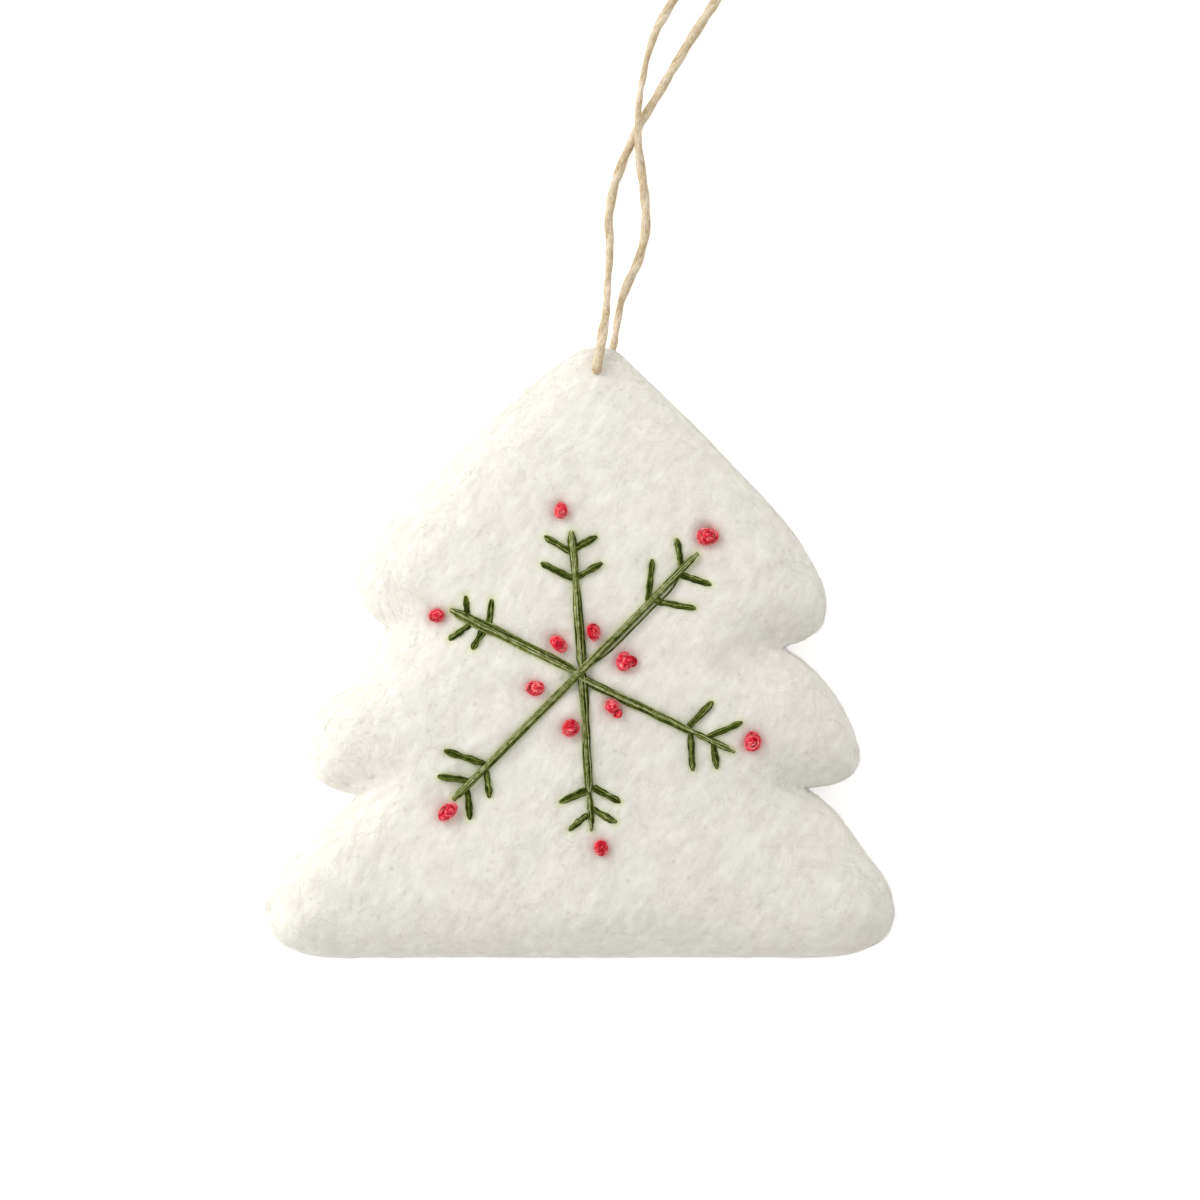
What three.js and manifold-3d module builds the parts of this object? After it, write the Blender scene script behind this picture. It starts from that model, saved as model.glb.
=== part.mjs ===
// Felted wool christmas tree ornament, in millimetres, lying on its back.
// +X is the front's right, +Y is the tip and +Z comes out of the embroidered front.
// The origin is under the middle of the wool body, on the surface that the back rests on.

import * as THREE from "three";
import { mergeVertices } from "three/addons/utils/BufferGeometryUtils.js";
import Module from "manifold-3d";

const wasm = await Module();
wasm.setup();

// Wool body
const bodyWidth = 100;
const bodyHeight = 97.3;
const equatorHeight = 8;
const shoulderRise = 6.6;
const crownRise = 3.4;
const frontRound = 9;
const backRound = 6.5;
const tipLength = 17;
const tipLift = 3.8;
const tipThinning = 2.6;
const creaseDepth = 1.7;
const creaseLength = 15;
const creaseWidth = 5.5;
const longestEdgeStep = 6.5;

// Embroidery
const flakeReach = 26;
const armFloss = 1.25;
const sideFloss = 0.95;
const knotFloss = 0.5;
const windingGap = 0.47;
const stitchDepth = 3.2;
const stitchBend = 0.9;
const knotSink = 0.9;
const knotDepth = 3.6;
const greenStartKnot = 2.4;
const redStartKnot = 1.55;
const furrowShare = 0.15;

// Twine
const twine = 1.3;
const hitchRadius = 1.35;
const tailLength = 9;

// Space that one piece keeps from the next
const clearance = 0.3;

// Corners of the outline as shares of the body's width and height, and each corner's rounding as a share
// of its width, clockwise from the right of the tip. Crease marks the notches between the tiers.
const outlineShares = [
  { x: 0.052, y: 1, round: 0.022 },
  { x: 0.188, y: 0.862, round: 0.476 },
  { x: 0.321, y: 0.719, round: 0.175 },
  { x: 0.359, y: 0.665, round: 0.143 },
  { x: 0.398, y: 0.587, round: 0.057 },
  { x: 0.386, y: 0.538, round: 0.025 },
  { x: 0.354, y: 0.517, round: 0.063 },
  { x: 0.324, y: 0.507, round: 0.002, crease: true },
  { x: 0.375, y: 0.471, round: 0.127 },
  { x: 0.432, y: 0.39, round: 0.143 },
  { x: 0.448, y: 0.328, round: 0.038 },
  { x: 0.44, y: 0.298, round: 0.016 },
  { x: 0.405, y: 0.283, round: 0.048 },
  { x: 0.356, y: 0.276, round: 0.002, crease: true },
  { x: 0.398, y: 0.254, round: 0.095 },
  { x: 0.463, y: 0.158, round: 0.159 },
  { x: 0.492, y: 0.126, round: 0.063 },
  { x: 0.503, y: 0.085, round: 0.095 },
  { x: 0.497, y: 0.038, round: 0.048 },
  { x: 0.457, y: 0.008, round: 0.095 },
  { x: 0.39, y: 0, round: 0.159 },
  { x: -0.425, y: 0, round: 0.079 },
  { x: -0.486, y: 0.023, round: 0.041 },
  { x: -0.507, y: 0.106, round: 0.057 },
  { x: -0.444, y: 0.171, round: 0.238 },
  { x: -0.351, y: 0.265, round: 0.002, crease: true },
  { x: -0.395, y: 0.276, round: 0.048 },
  { x: -0.427, y: 0.298, round: 0.025 },
  { x: -0.432, y: 0.357, round: 0.057 },
  { x: -0.41, y: 0.422, round: 0.048 },
  { x: -0.343, y: 0.443, round: 0.038 },
  { x: -0.327, y: 0.494, round: 0.048 },
  { x: -0.306, y: 0.539, round: 0.003, crease: true },
  { x: -0.343, y: 0.57, round: 0.048 },
  { x: -0.357, y: 0.613, round: 0.038 },
  { x: -0.34, y: 0.662, round: 0.095 },
  { x: -0.298, y: 0.714, round: 0.159 },
  { x: -0.173, y: 0.839, round: 0.317 },
  { x: -0.079, y: 0.935, round: 0.317 },
  { x: 0.008, y: 1, round: 0.022 },
];
const outlineMiddleShares = { x: 0.016, y: 0.42 };

// Where the wool's rings lie, as shares of the rounding of the front and of the back
const frontRingShares = [0.07, 0.25, 0.55, 0.95, 1.55, 2.4];
const backRingShares = [0.1, 0.38, 0.95, 2.1];

// Snowflake: its middle as shares of the body's width and height from the body's centre, and its arms as
// an angle in degrees and shares of the snowflake's reach. An arm that doesn't point at the middle lies
// aside of it, to the left of its direction. A side stitch is where it starts and ends along its arm, and
// how far it leads off from beside the arm.
const flakeMiddleShares = { x: 0.0036, y: -0.035 };
const armShares = [
  {
    name: "southeast", angle: -25.6, tip: 1.031, aside: -0.032, split: 0.745,
    sides: [[0.735, 0.787, 0.157], [0.775, 0.857, -0.147], [0.89, 1, 0.124], [0.929, 0.986, -0.078]],
  },
  {
    name: "south", angle: -86.8, tip: 0.952, aside: 0.002, split: 0.7,
    sides: [[0.718, 0.795, 0.125], [0.732, 0.775, -0.12], [0.851, 0.914, 0.098], [0.892, 0.949, -0.076]],
  },
  {
    name: "southwest", angle: -134.7, tip: 1.065, aside: -0.015, over: true,
    sides: [[0.862, 0.928, 0.085], [0.827, 0.92, -0.187], [1.03, 1.109, 0.093], [0.975, 1.059, -0.107]],
  },
  {
    name: "northwest", angle: 153.7, tip: 0.874, aside: 0.01,
    sides: [[0.654, 0.661, 0.096], [0.649, 0.691, -0.11], [0.76, 0.816, 0.105], [0.802, 0.841, -0.059]],
  },
  {
    name: "north", angle: 94.3, tip: 0.856, aside: 0,
    sides: [[0.599, 0.683, 0.14], [0.601, 0.653, -0.107], [0.767, 0.844, 0.107], [0.776, 0.817, -0.089]],
  },
  {
    name: "northeast", angle: 45.3, tip: 0.999, aside: 0.012, over: true,
    sides: [[0.643, 0.783, 0.112], [0.651, 0.762, -0.165], [0.906, 0.981, 0.099], [0.864, 0.931, -0.133]],
  },
];

// Knots: an angle in degrees, and the place and outer size as shares of the snowflake's reach
const knotShares = [
  { name: "north_tip", angle: 97.4, at: 0.995, size: 0.096 },
  { name: "northeast_tip", angle: 47.6, at: 1.127, size: 0.122 },
  { name: "southeast_tip", angle: -22.1, at: 1.117, size: 0.113 },
  { name: "south_tip", angle: -83.8, at: 1.068, size: 0.094 },
  { name: "southwest_tip", angle: -134.2, at: 1.176, size: 0.116 },
  { name: "northwest_tip", angle: 158.5, at: 0.951, size: 0.094 },
  { name: "north_northeast", angle: 74.2, at: 0.256, size: 0.096 },
  { name: "east", angle: 15, at: 0.262, size: 0.12 },
  { name: "south_southeast", angle: -48, at: 0.271, size: 0.094 },
  { name: "south_southwest", angle: -102.1, at: 0.339, size: 0.101 },
  { name: "west", angle: -162.2, at: 0.298, size: 0.098 },
  { name: "north_northwest", angle: 128.4, at: 0.23, size: 0.102 },
];

// Route of the twine, chosen by hand: along the front leg from the knot to the tip, through the wool, and
// back along the back leg. The back leg passes over the front leg in one long low hump.
const frontLegRoute = [
  [34.9, 127.45, 1.7], [34.1, 126.1, 1.6], [31.3, 120.6, 0.8], [28.0, 114.6, 0.68], [24.7, 108.9, 0.68],
  [21.5, 103.4, 0.68], [17.1, 96.6, 0.68], [14.2, 91.7, 0.68], [10.8, 86, 0.68], [9, 82.8, 0.68],
  [7.3, 79.1, 0.68], [5.5, 74.2, 0.68], [4.6, 69, 0.68], [4.7, 65, 0.7], [4.6, 61, 1.6],
  [4.4, 58.2, 3.3], [4.25, 55.4, 5.9], [4, 52.8, 8.6], [3.6, 50.3, 10.7], [3.2, 47.9, 12.4],
  [2.8, 45.9, 13.5],
];
const throughRoute = [[2.6, 44.6, 13.1], [2.8, 44.0, 11.4], [3.3, 44.1, 9.2], [3.9, 44.6, 6.8]];
const backLegRoute = [
  [4.5, 45.6, 4.3], [4.9, 47.2, 3.0], [5.4, 49.1, 2.5], [5.75, 51.2, 1.9], [6.1, 53.3, 1.3],
  [6.6, 55.8, 0.85], [7.6, 58.5, 0.68], [9.4, 62.5, 0.68], [10.4, 67, 0.68], [10.4, 71, 0.7],
  [10, 75, 0.95], [9.6, 77.6, 1.4], [9.35, 80.2, 2.05], [9.2, 83.2, 2.42], [9.25, 86, 2.1],
  [9.6, 88.8, 1.35], [10.1, 91.6, 0.85], [10.8, 94.9, 0.68], [12.2, 99, 0.68], [14.7, 103.4, 0.68],
  [18, 108.4, 0.68], [21.9, 113.6, 0.68], [25.9, 118.4, 0.75],
  [29.9, 123.4, 1.1], [32.65, 126.98, 1.6], [33.5, 128.35, 1.7],
];

const colours = {
  wool: 0xeeebe4,
  green: 0x5a6b2e,
  red: 0xe0404f,
  twine: 0xd8c0a0,
};

const ornament = new THREE.Group();

function addPiece(name, geometry, colour) {
  geometry.computeVertexNormals();
  const material = new THREE.MeshStandardMaterial({ color: colour, roughness: 0.95, metalness: 0 });
  const mesh = new THREE.Mesh(geometry, material);
  mesh.name = name;
  ornament.add(mesh);
}

function toSolid(geometry) {
  const bare = geometry.clone();
  bare.deleteAttribute("normal");
  bare.deleteAttribute("uv");
  const merged = mergeVertices(bare);
  return new wasm.Manifold(new wasm.Mesh({
    numProp: 3,
    vertProperties: new Float32Array(merged.attributes.position.array),
    triVerts: new Uint32Array(merged.index.array),
  }));
}

function toGeometry(solid) {
  const mesh = solid.getMesh();
  const geometry = new THREE.BufferGeometry();
  geometry.setAttribute("position", new THREE.BufferAttribute(new Float32Array(mesh.vertProperties), 3));
  geometry.setIndex(new THREE.BufferAttribute(new Uint32Array(mesh.triVerts), 1));
  return geometry;
}

function smoothStep(share) {
  const limited = Math.min(Math.max(share, 0), 1);
  return limited * limited * (3 - 2 * limited);
}

// Outline: straight slopes with an arc at each corner, sampled so that no edge is longer than the step

const arcStep = Math.PI / 7;
const longestTangentShare = 0.49;

function cornerArc(before, corner, after, radius) {
  const toBefore = before.clone().sub(corner);
  const toAfter = after.clone().sub(corner);
  const shortest = Math.min(toBefore.length(), toAfter.length());
  toBefore.normalize();
  toAfter.normalize();
  const halfAngle = Math.acos(toBefore.dot(toAfter)) / 2;
  const tangent = Math.min(radius / Math.tan(halfAngle), shortest * longestTangentShare);
  const turn = Math.PI - 2 * halfAngle;
  const steps = Math.max(1, Math.round(turn / arcStep));
  const start = corner.clone().addScaledVector(toBefore, tangent);
  const end = corner.clone().addScaledVector(toAfter, tangent);
  const bisector = toBefore.clone().add(toAfter).normalize();
  const centre = corner.clone().addScaledVector(bisector, tangent / Math.cos(halfAngle));
  const points = [];
  for (let i = 0; i <= steps; i += 1) {
    const share = i / steps;
    const along = start.clone().sub(centre).multiplyScalar(Math.sin((1 - share) * turn));
    along.addScaledVector(end.clone().sub(centre), Math.sin(share * turn));
    points.push(centre.clone().addScaledVector(along, 1 / Math.sin(turn)));
  }
  return points;
}

function sampleOutline() {
  const corners = outlineShares.map(({ x, y }) => new THREE.Vector2(x * bodyWidth, y * bodyHeight));
  const points = [];
  corners.forEach((corner, i) => {
    const before = corners[(i + corners.length - 1) % corners.length];
    const after = corners[(i + 1) % corners.length];
    const arc = cornerArc(before, corner, after, outlineShares[i].round * bodyWidth);
    const last = points.at(-1);
    if (last) {
      addSlope(points, last, arc[0]);
    }
    points.push(...arc);
  });
  addSlope(points, points.at(-1), points[0]);
  return points;
}

function addSlope(points, from, to) {
  const steps = Math.ceil(from.distanceTo(to) / longestEdgeStep);
  for (let i = 1; i < steps; i += 1) {
    points.push(from.clone().lerp(to, i / steps));
  }
}

const rawOutline = sampleOutline();
const outlineBox = new THREE.Box2().setFromPoints(rawOutline);
const outlineCentre = outlineBox.getCenter(new THREE.Vector2());
const outlineSize = outlineBox.getSize(new THREE.Vector2());
const outlineFit = new THREE.Vector2(bodyWidth / outlineSize.x, bodyHeight / outlineSize.y);

function fitOutline(point) {
  return point.clone().sub(outlineCentre).multiply(outlineFit);
}

const outline = rawOutline.map(fitOutline);
const outlineMiddle = fitOutline(
  new THREE.Vector2(outlineMiddleShares.x * bodyWidth, outlineMiddleShares.y * bodyHeight),
);
const creases = outlineShares.filter(({ crease }) => crease).map(({ x, y }) => {
  return fitOutline(new THREE.Vector2(x * bodyWidth, y * bodyHeight));
});

function distanceToSegment(point, from, to) {
  const along = to.clone().sub(from);
  const share = point.clone().sub(from).dot(along) / along.lengthSq();
  return point.distanceTo(from.clone().addScaledVector(along, Math.min(Math.max(share, 0), 1)));
}

function distanceToOutline(point) {
  let least = Infinity;
  outline.forEach((from, i) => {
    const to = outline[(i + 1) % outline.length];
    least = Math.min(least, distanceToSegment(point, from, to));
  });
  return least;
}

// Wool: heights of the sides' widest line, of the front and of the back over any place in the outline

function tipShare(y) {
  return smoothStep((y - (bodyHeight / 2 - tipLength)) / tipLength);
}

function quarterRound(share) {
  const rest = 1 - Math.min(Math.max(share, 0), 1);
  return Math.sqrt(1 - rest * rest);
}

function creaseAt(point) {
  return creases.reduce((depth, notch) => {
    const inward = outlineMiddle.clone().sub(notch).setLength(creaseLength);
    const end = notch.clone().add(inward);
    const off = distanceToSegment(point, notch, end) / creaseWidth;
    const along = point.distanceTo(notch) / creaseLength;
    return depth + creaseDepth * Math.exp(-off * off) * (1 - smoothStep(along));
  }, 0);
}

function equatorAt(y) {
  return equatorHeight + tipShare(y) * (tipLift - tipThinning) / 2;
}

function frontAt(x, y) {
  const point = new THREE.Vector2(x, y);
  const inside = distanceToOutline(point);
  const shoulder = (shoulderRise - tipThinning * tipShare(y)) * quarterRound(inside / frontRound);
  const fromMiddle = Math.hypot(x / (bodyWidth / 2), y / (bodyHeight / 2));
  const crown = crownRise * Math.max(0, 1 - fromMiddle * fromMiddle);
  const crease = creaseAt(point) * quarterRound(inside / frontRound);
  return equatorAt(y) + shoulder + crown - crease;
}

function backAt(x, y) {
  const inside = distanceToOutline(new THREE.Vector2(x, y));
  const lift = tipLift * tipShare(y);
  return lift + (equatorAt(y) - lift) * (1 - quarterRound(inside / backRound));
}

function woolRing(offset, heightAt) {
  return outline.map((edge) => {
    const inward = outlineMiddle.clone().sub(edge);
    const place = edge.clone().addScaledVector(inward, Math.min(offset / inward.length(), 1));
    return [place.x, place.y, heightAt(place.x, place.y)];
  });
}

function woolSolid() {
  const middle = outlineMiddle;
  const backRings = backRingShares.map((share) => woolRing(share * backRound, backAt)).reverse();
  const frontRings = frontRingShares.map((share) => woolRing(share * frontRound, frontAt));
  const rings = [...backRings, woolRing(0, (x, y) => equatorAt(y)), ...frontRings];
  const count = outline.length;
  const positions = rings.flat(2);
  positions.push(middle.x, middle.y, backAt(middle.x, middle.y));
  positions.push(middle.x, middle.y, frontAt(middle.x, middle.y));
  const backPole = rings.length * count;
  const frontPole = backPole + 1;
  const lastRing = (rings.length - 1) * count;
  const index = [];
  for (let i = 0; i < count; i += 1) {
    const next = (i + 1) % count;
    index.push(backPole, i, next);
    index.push(frontPole, lastRing + next, lastRing + i);
    for (let ring = 0; ring < rings.length - 1; ring += 1) {
      const low = ring * count;
      const high = low + count;
      index.push(low + i, high + i, low + next);
      index.push(low + next, high + i, high + next);
    }
  }
  const geometry = new THREE.BufferGeometry();
  geometry.setAttribute("position", new THREE.Float32BufferAttribute(positions, 3));
  geometry.setIndex(index);
  return toSolid(geometry);
}

// Thread: a tube through given points, with a ring of its section at each of them

function roundSection(radius, sides) {
  const shape = new THREE.Shape();
  for (let i = 0; i < sides; i += 1) {
    const angle = (i / sides) * 2 * Math.PI;
    const place = [radius * Math.cos(angle), radius * Math.sin(angle)];
    if (i === 0) {
      shape.moveTo(...place);
    } else {
      shape.lineTo(...place);
    }
  }
  shape.closePath();
  return shape;
}

function tubeAlong(path, steps, radius, sides) {
  path.getUtoTmapping = (share) => share;
  const options = { steps, extrudePath: path, bevelEnabled: false };
  return new THREE.ExtrudeGeometry(roundSection(radius, sides), options);
}

function tubeThrough(points, radius, sides) {
  const path = new THREE.CatmullRomCurve3(points, false, "centripetal");
  return tubeAlong(path, points.length - 1, radius, sides);
}

function boreRadius(radius, sides) {
  return (radius + clearance) / Math.cos(Math.PI / sides);
}

// Stitch: up out of one needle hole, along the wool in a shallow furrow, and down the next hole. Its route
// lies in one upright plane, so a place on it is a distance from the first hole and a height.

const bendShare = 0.3;
const longestBendShare = 0.49;

function stitchRoute(from, to, floss) {
  const along = to.clone().sub(from);
  const span = along.length();
  along.normalize();
  const woolAt = (distance) => {
    const place = from.clone().addScaledVector(along, distance);
    return frontAt(place.x, place.y);
  };
  const threadAt = (distance) => woolAt(distance) + furrowShare * floss;
  return { from, along, span, floss, woolAt, threadAt };
}

function evenSteps(start, end) {
  const steps = Math.max(1, Math.round((end - start) / longestEdgeStep));
  return Array.from({ length: steps + 1 }, (_, i) => start + (end - start) * (i / steps));
}

function stitchPoints({ from, along, span, threadAt }) {
  const place = (distance, depth) => {
    const flat = from.clone().addScaledVector(along, distance);
    return new THREE.Vector3(flat.x, flat.y, threadAt(distance) - depth);
  };
  const bend = Math.min(stitchBend, span * longestBendShare);
  const turn = bend * bendShare;
  const down = [place(0, stitchDepth), place(0, bend), place(turn, turn)];
  const across = evenSteps(bend, span - bend).map((distance) => place(distance, 0));
  const up = [place(span - turn, turn), place(span, bend), place(span, stitchDepth)];
  return [...down, ...across, ...up];
}

function stitchSeat({ from, along, span, floss, woolAt, threadAt }) {
  const half = floss / 2 + clearance;
  const holeFloor = (distance) => threadAt(distance) - stitchDepth - clearance;
  const corners = [[-half, holeFloor(0)], [half, holeFloor(0)]];
  const stops = evenSteps(half, span - half);
  stops.forEach((distance) => corners.push([distance, threadAt(distance) - half]));
  corners.push([span - half, holeFloor(span)], [span + half, holeFloor(span)]);
  const tops = [-half, ...stops, span + half].reverse();
  tops.forEach((distance) => corners.push([distance, woolAt(distance) + floss + half]));
  const profile = new THREE.Shape(corners.map((corner) => new THREE.Vector2(...corner)));
  const seat = new THREE.ExtrudeGeometry(profile, { depth: 2 * half, bevelEnabled: false });
  const ahead = new THREE.Vector3(along.x, along.y, 0);
  const up = new THREE.Vector3(0, 0, 1);
  const sideways = ahead.clone().cross(up);
  const frame = new THREE.Matrix4().makeBasis(ahead, up, sideways);
  frame.setPosition(from.x - sideways.x * half, from.y - sideways.y * half, 0);
  return toSolid(seat.applyMatrix4(frame));
}

const flakeMiddle = new THREE.Vector2(flakeMiddleShares.x * bodyWidth, flakeMiddleShares.y * bodyHeight);

function onArm({ angle, aside = 0 }, alongShare, across = 0) {
  const direction = THREE.MathUtils.degToRad(angle);
  const place = new THREE.Vector2(alongShare * flakeReach, aside * flakeReach + across);
  return place.rotateAround(new THREE.Vector2(), direction).add(flakeMiddle);
}

const stitchSides = 6;
const stitches = [];

function addStitch(name, from, to, floss) {
  stitches.push({ name, ...stitchRoute(from, to, floss) });
}

const startStepShare = 0.002;

function clearStart(arm, placed) {
  const apart = armFloss + clearance;
  let start = 0;
  while (placed.some(([from, to]) => distanceToSegment(onArm(arm, start), from, to) < apart)) {
    start += startStepShare;
  }
  return start;
}

function addArms() {
  const [southwest, northeast] = armShares.filter(({ over }) => over);
  const placed = [[onArm(southwest, southwest.tip), onArm(northeast, northeast.tip)]];
  addStitch("green_diagonal_stitch", ...placed[0], armFloss);
  armShares.filter(({ over }) => !over).forEach((arm) => {
    const ends = [onArm(arm, clearStart(arm, placed)), onArm(arm, arm.split ?? arm.tip)];
    placed.push(ends);
    addStitch(`green_${arm.name}_arm`, ...ends, armFloss);
    if (arm.split) {
      const tipStart = arm.split + ((armFloss + sideFloss) / 2 + clearance) / flakeReach;
      addStitch(`green_${arm.name}_arm_tip`, onArm(arm, tipStart), onArm(arm, arm.tip), sideFloss);
    }
  });
}

function addSideStitches() {
  const rootOffset = (armFloss + sideFloss) / 2 + clearance;
  armShares.forEach((arm) => {
    arm.sides.forEach(([root, tip, offset], i) => {
      const besideArm = Math.sign(offset) * rootOffset;
      const from = onArm(arm, root, besideArm);
      const to = onArm(arm, tip, besideArm + offset * flakeReach);
      const row = i < 2 ? "inner" : "outer";
      const side = offset > 0 ? "left" : "right";
      addStitch(`green_${arm.name}_${row}_${side}`, from, to, sideFloss);
    });
  });
}

// French knot: up beside its middle, wound round, then down through the middle of its own turns

const knotSides = 5;
const knotTurns = 1.75;
const stepsEachTurn = 8;

// Shares of the pitch of the turns: where the thread leaves its hole, where the first turn starts, and how
// high the thread passes over the turns and over their middle. It passes over them at a share of its way in.
const leaveShare = 0.8;
const firstTurnShare = 0.25;
const passShare = 0.75;
const middleShare = 0.3;
const wayInShare = 0.55;

function knotPoints(size) {
  const ring = Math.max(size / 2 - knotFloss / 2, knotFloss + windingGap);
  const pitch = knotFloss + windingGap;
  const low = knotFloss / 2;
  const points = [new THREE.Vector3(ring, 0, -knotDepth)];
  points.push(new THREE.Vector3(ring, 0, -pitch * leaveShare));
  const steps = Math.round(knotTurns * stepsEachTurn);
  for (let i = 1; i <= steps; i += 1) {
    const angle = (i / stepsEachTurn) * 2 * Math.PI;
    const height = low + pitch * (i / stepsEachTurn - firstTurnShare);
    points.push(new THREE.Vector3(ring * Math.cos(angle), ring * Math.sin(angle), height));
  }
  const top = points.at(-1);
  const inward = new THREE.Vector3(-top.x, -top.y, 0);
  points.push(top.clone().addScaledVector(inward, wayInShare).setZ(top.z + pitch * passShare));
  points.push(new THREE.Vector3(0, 0, top.z + pitch * middleShare));
  points.push(new THREE.Vector3(0, 0, low));
  points.push(new THREE.Vector3(0, 0, -knotDepth));
  return { points, ring };
}

const gapStepShare = 0.25;

function leastGap(points, thickness) {
  const path = new THREE.CatmullRomCurve3(points, false, "centripetal");
  const step = thickness * gapStepShare;
  const places = path.getSpacedPoints(Math.round(path.getLength() / step));
  const apart = Math.round((Math.PI * (thickness + windingGap)) / step);
  let least = Infinity;
  places.forEach((place, i) => {
    places.slice(i + apart).forEach((other) => {
      least = Math.min(least, place.distanceTo(other) - thickness);
    });
  });
  return least;
}

const ornamentKnots = knotShares.map(({ name, angle, at, size }) => {
  const place = onArm({ angle }, at);
  const { points, ring } = knotPoints(size * flakeReach);
  const turned = new THREE.Matrix4().makeRotationZ(THREE.MathUtils.degToRad(angle));
  turned.setPosition(place.x, place.y, frontAt(place.x, place.y) - knotSink);
  return { name: `red_knot_${name}`, points, ring, turned };
});

const dimpleSides = 10;
const dimpleRiseShare = 2;
const holeSides = 8;

function knotSeat({ ring, turned }) {
  const outer = (ring + knotFloss / 2 + clearance) / Math.cos(Math.PI / dimpleSides);
  const height = knotSink + clearance + knotFloss * dimpleRiseShare;
  const dimple = new THREE.CylinderGeometry(outer + knotSink, outer, height, dimpleSides);
  dimple.rotateX(Math.PI / 2);
  dimple.translate(0, 0, height / 2 - clearance);
  const holeRadius = ((ring + knotFloss) / 2 + clearance) / Math.cos(Math.PI / holeSides);
  const holeLength = knotDepth + clearance * 2;
  const hole = new THREE.CylinderGeometry(holeRadius, holeRadius, holeLength, holeSides);
  hole.rotateX(Math.PI / 2);
  hole.translate(ring / 2, 0, clearance - holeLength / 2);
  const seat = toSolid(dimple.applyMatrix4(turned));
  return seat.add(toSolid(hole.applyMatrix4(turned)));
}

const ballSides = 8;
const ballRings = 6;

function ballAt(place, radius) {
  const ball = new THREE.SphereGeometry(radius, ballSides, ballRings);
  ball.translate(place.x, place.y, place.z);
  return toSolid(ball);
}

// Twine: one route, cut into the stretch inside the tip and the two free legs

const route = [...frontLegRoute, ...throughRoute, ...backLegRoute].map((place) => {
  return new THREE.Vector3(...place);
});
const routeCurve = new THREE.CatmullRomCurve3(route, false, "centripetal");
const divisions = 20;
const routeLengths = routeCurve.getLengths((route.length - 1) * divisions);

class RouteStretch extends THREE.Curve {
  constructor(fromIndex, toIndex, trimStart, trimEnd) {
    super();
    this.start = routeLengths[fromIndex * divisions] + trimStart;
    this.length = routeLengths[toIndex * divisions] - trimEnd - this.start;
  }

  getPoint(share, target) {
    return routeCurve.getPointAt((this.start + this.length * share) / routeLengths.at(-1), target);
  }
}

const looseStepShare = 2.2;
const bentStepShare = 0.9;

function twineTube(stretch, radius, stepShare) {
  const steps = Math.ceil(stretch.length / (stepShare * twine));
  return tubeAlong(stretch, steps, radius, twineSides);
}

const twineSides = 8;
const frontEnd = frontLegRoute.length;
const backStart = frontEnd + throughRoute.length;
const halfGap = clearance / 2;

const frontLeg = new RouteStretch(0, frontEnd, 0, halfGap);
const inTip = new RouteStretch(frontEnd, backStart, halfGap, halfGap);
const backLeg = new RouteStretch(backStart, route.length - 1, halfGap, 0);
const boreOverlap = 3;
const boredStretch = new RouteStretch(frontEnd - boreOverlap, backStart + boreOverlap, 0, 0);

// Overhand knot in both legs, with two tails that lie on the surface past it. It is made about its own
// middle, its X axis along the loop, and then set down past the ends of the legs.

const hitchWraps = [
  { alongShare: -0.9, tilt: 0.35 },
  { alongShare: 0.1, tilt: -0.2 },
  { alongShare: 1, tilt: 0.3 },
];
const wrapSinkShare = 0.1;
const wrapSides = 6;
const wrapSegments = 10;
const tailShares = [[0, 0, 0], [0.25, 0.07, -0.02], [0.6, 0.22, -0.13], [1, 0.3, -0.14]];

function hitchSolid() {
  let solid = toSolid(new THREE.SphereGeometry(hitchRadius, wrapSegments, ballSides));
  hitchWraps.forEach(({ alongShare, tilt }) => {
    const wrapRadius = hitchRadius - wrapSinkShare * twine;
    const wrap = new THREE.TorusGeometry(wrapRadius, twine / 2, wrapSides, wrapSegments);
    wrap.rotateY(Math.PI / 2 + tilt);
    wrap.translate(alongShare * hitchRadius, 0, 0);
    solid = solid.add(toSolid(wrap));
  });
  [-1, 1].forEach((side) => {
    const points = tailShares.map(([along, across, height]) => {
      return new THREE.Vector3(along, across * side, height).multiplyScalar(tailLength);
    });
    solid = solid.add(toSolid(tubeThrough(points, twine / 2, twineSides)));
  });
  return solid;
}

function placedHitch() {
  const geometry = toGeometry(hitchSolid());
  geometry.computeBoundingBox();
  const { min } = geometry.boundingBox;
  const frontLegEnd = route[0];
  const backLegEnd = route.at(-1);
  const apart = frontLegEnd.clone().sub(backLegEnd);
  const heading = new THREE.Vector3(-apart.y, apart.x, 0).normalize();
  const middle = frontLegEnd.clone().add(backLegEnd).multiplyScalar(0.5);
  middle.addScaledVector(heading, clearance - min.x).setZ(-min.z);
  const sideways = new THREE.Vector3(-heading.y, heading.x, 0);
  const frame = new THREE.Matrix4().makeBasis(heading, sideways, new THREE.Vector3(0, 0, 1));
  return geometry.applyMatrix4(frame.setPosition(middle));
}

// Assembly: the wool is cut by everything that is sewn or drawn into it

addArms();
addSideStitches();

const [startKnotPlace] = stitchPoints(stitches[0]);
const firstRedKnot = ornamentKnots[0];
const redStartPlace = firstRedKnot.points.at(-1).clone().applyMatrix4(firstRedKnot.turned);

let wool = woolSolid();
stitches.forEach((stitch) => {
  wool = wool.subtract(stitchSeat(stitch));
});
ornamentKnots.forEach((knot) => {
  wool = wool.subtract(knotSeat(knot));
});
wool = wool.subtract(ballAt(startKnotPlace, greenStartKnot / 2 + clearance));
wool = wool.subtract(ballAt(redStartPlace, redStartKnot / 2 + clearance));
const bore = twineTube(boredStretch, boreRadius(twine / 2, twineSides), bentStepShare);
wool = wool.subtract(toSolid(bore));
addPiece("felt_body", toGeometry(wool), colours.wool);

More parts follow.
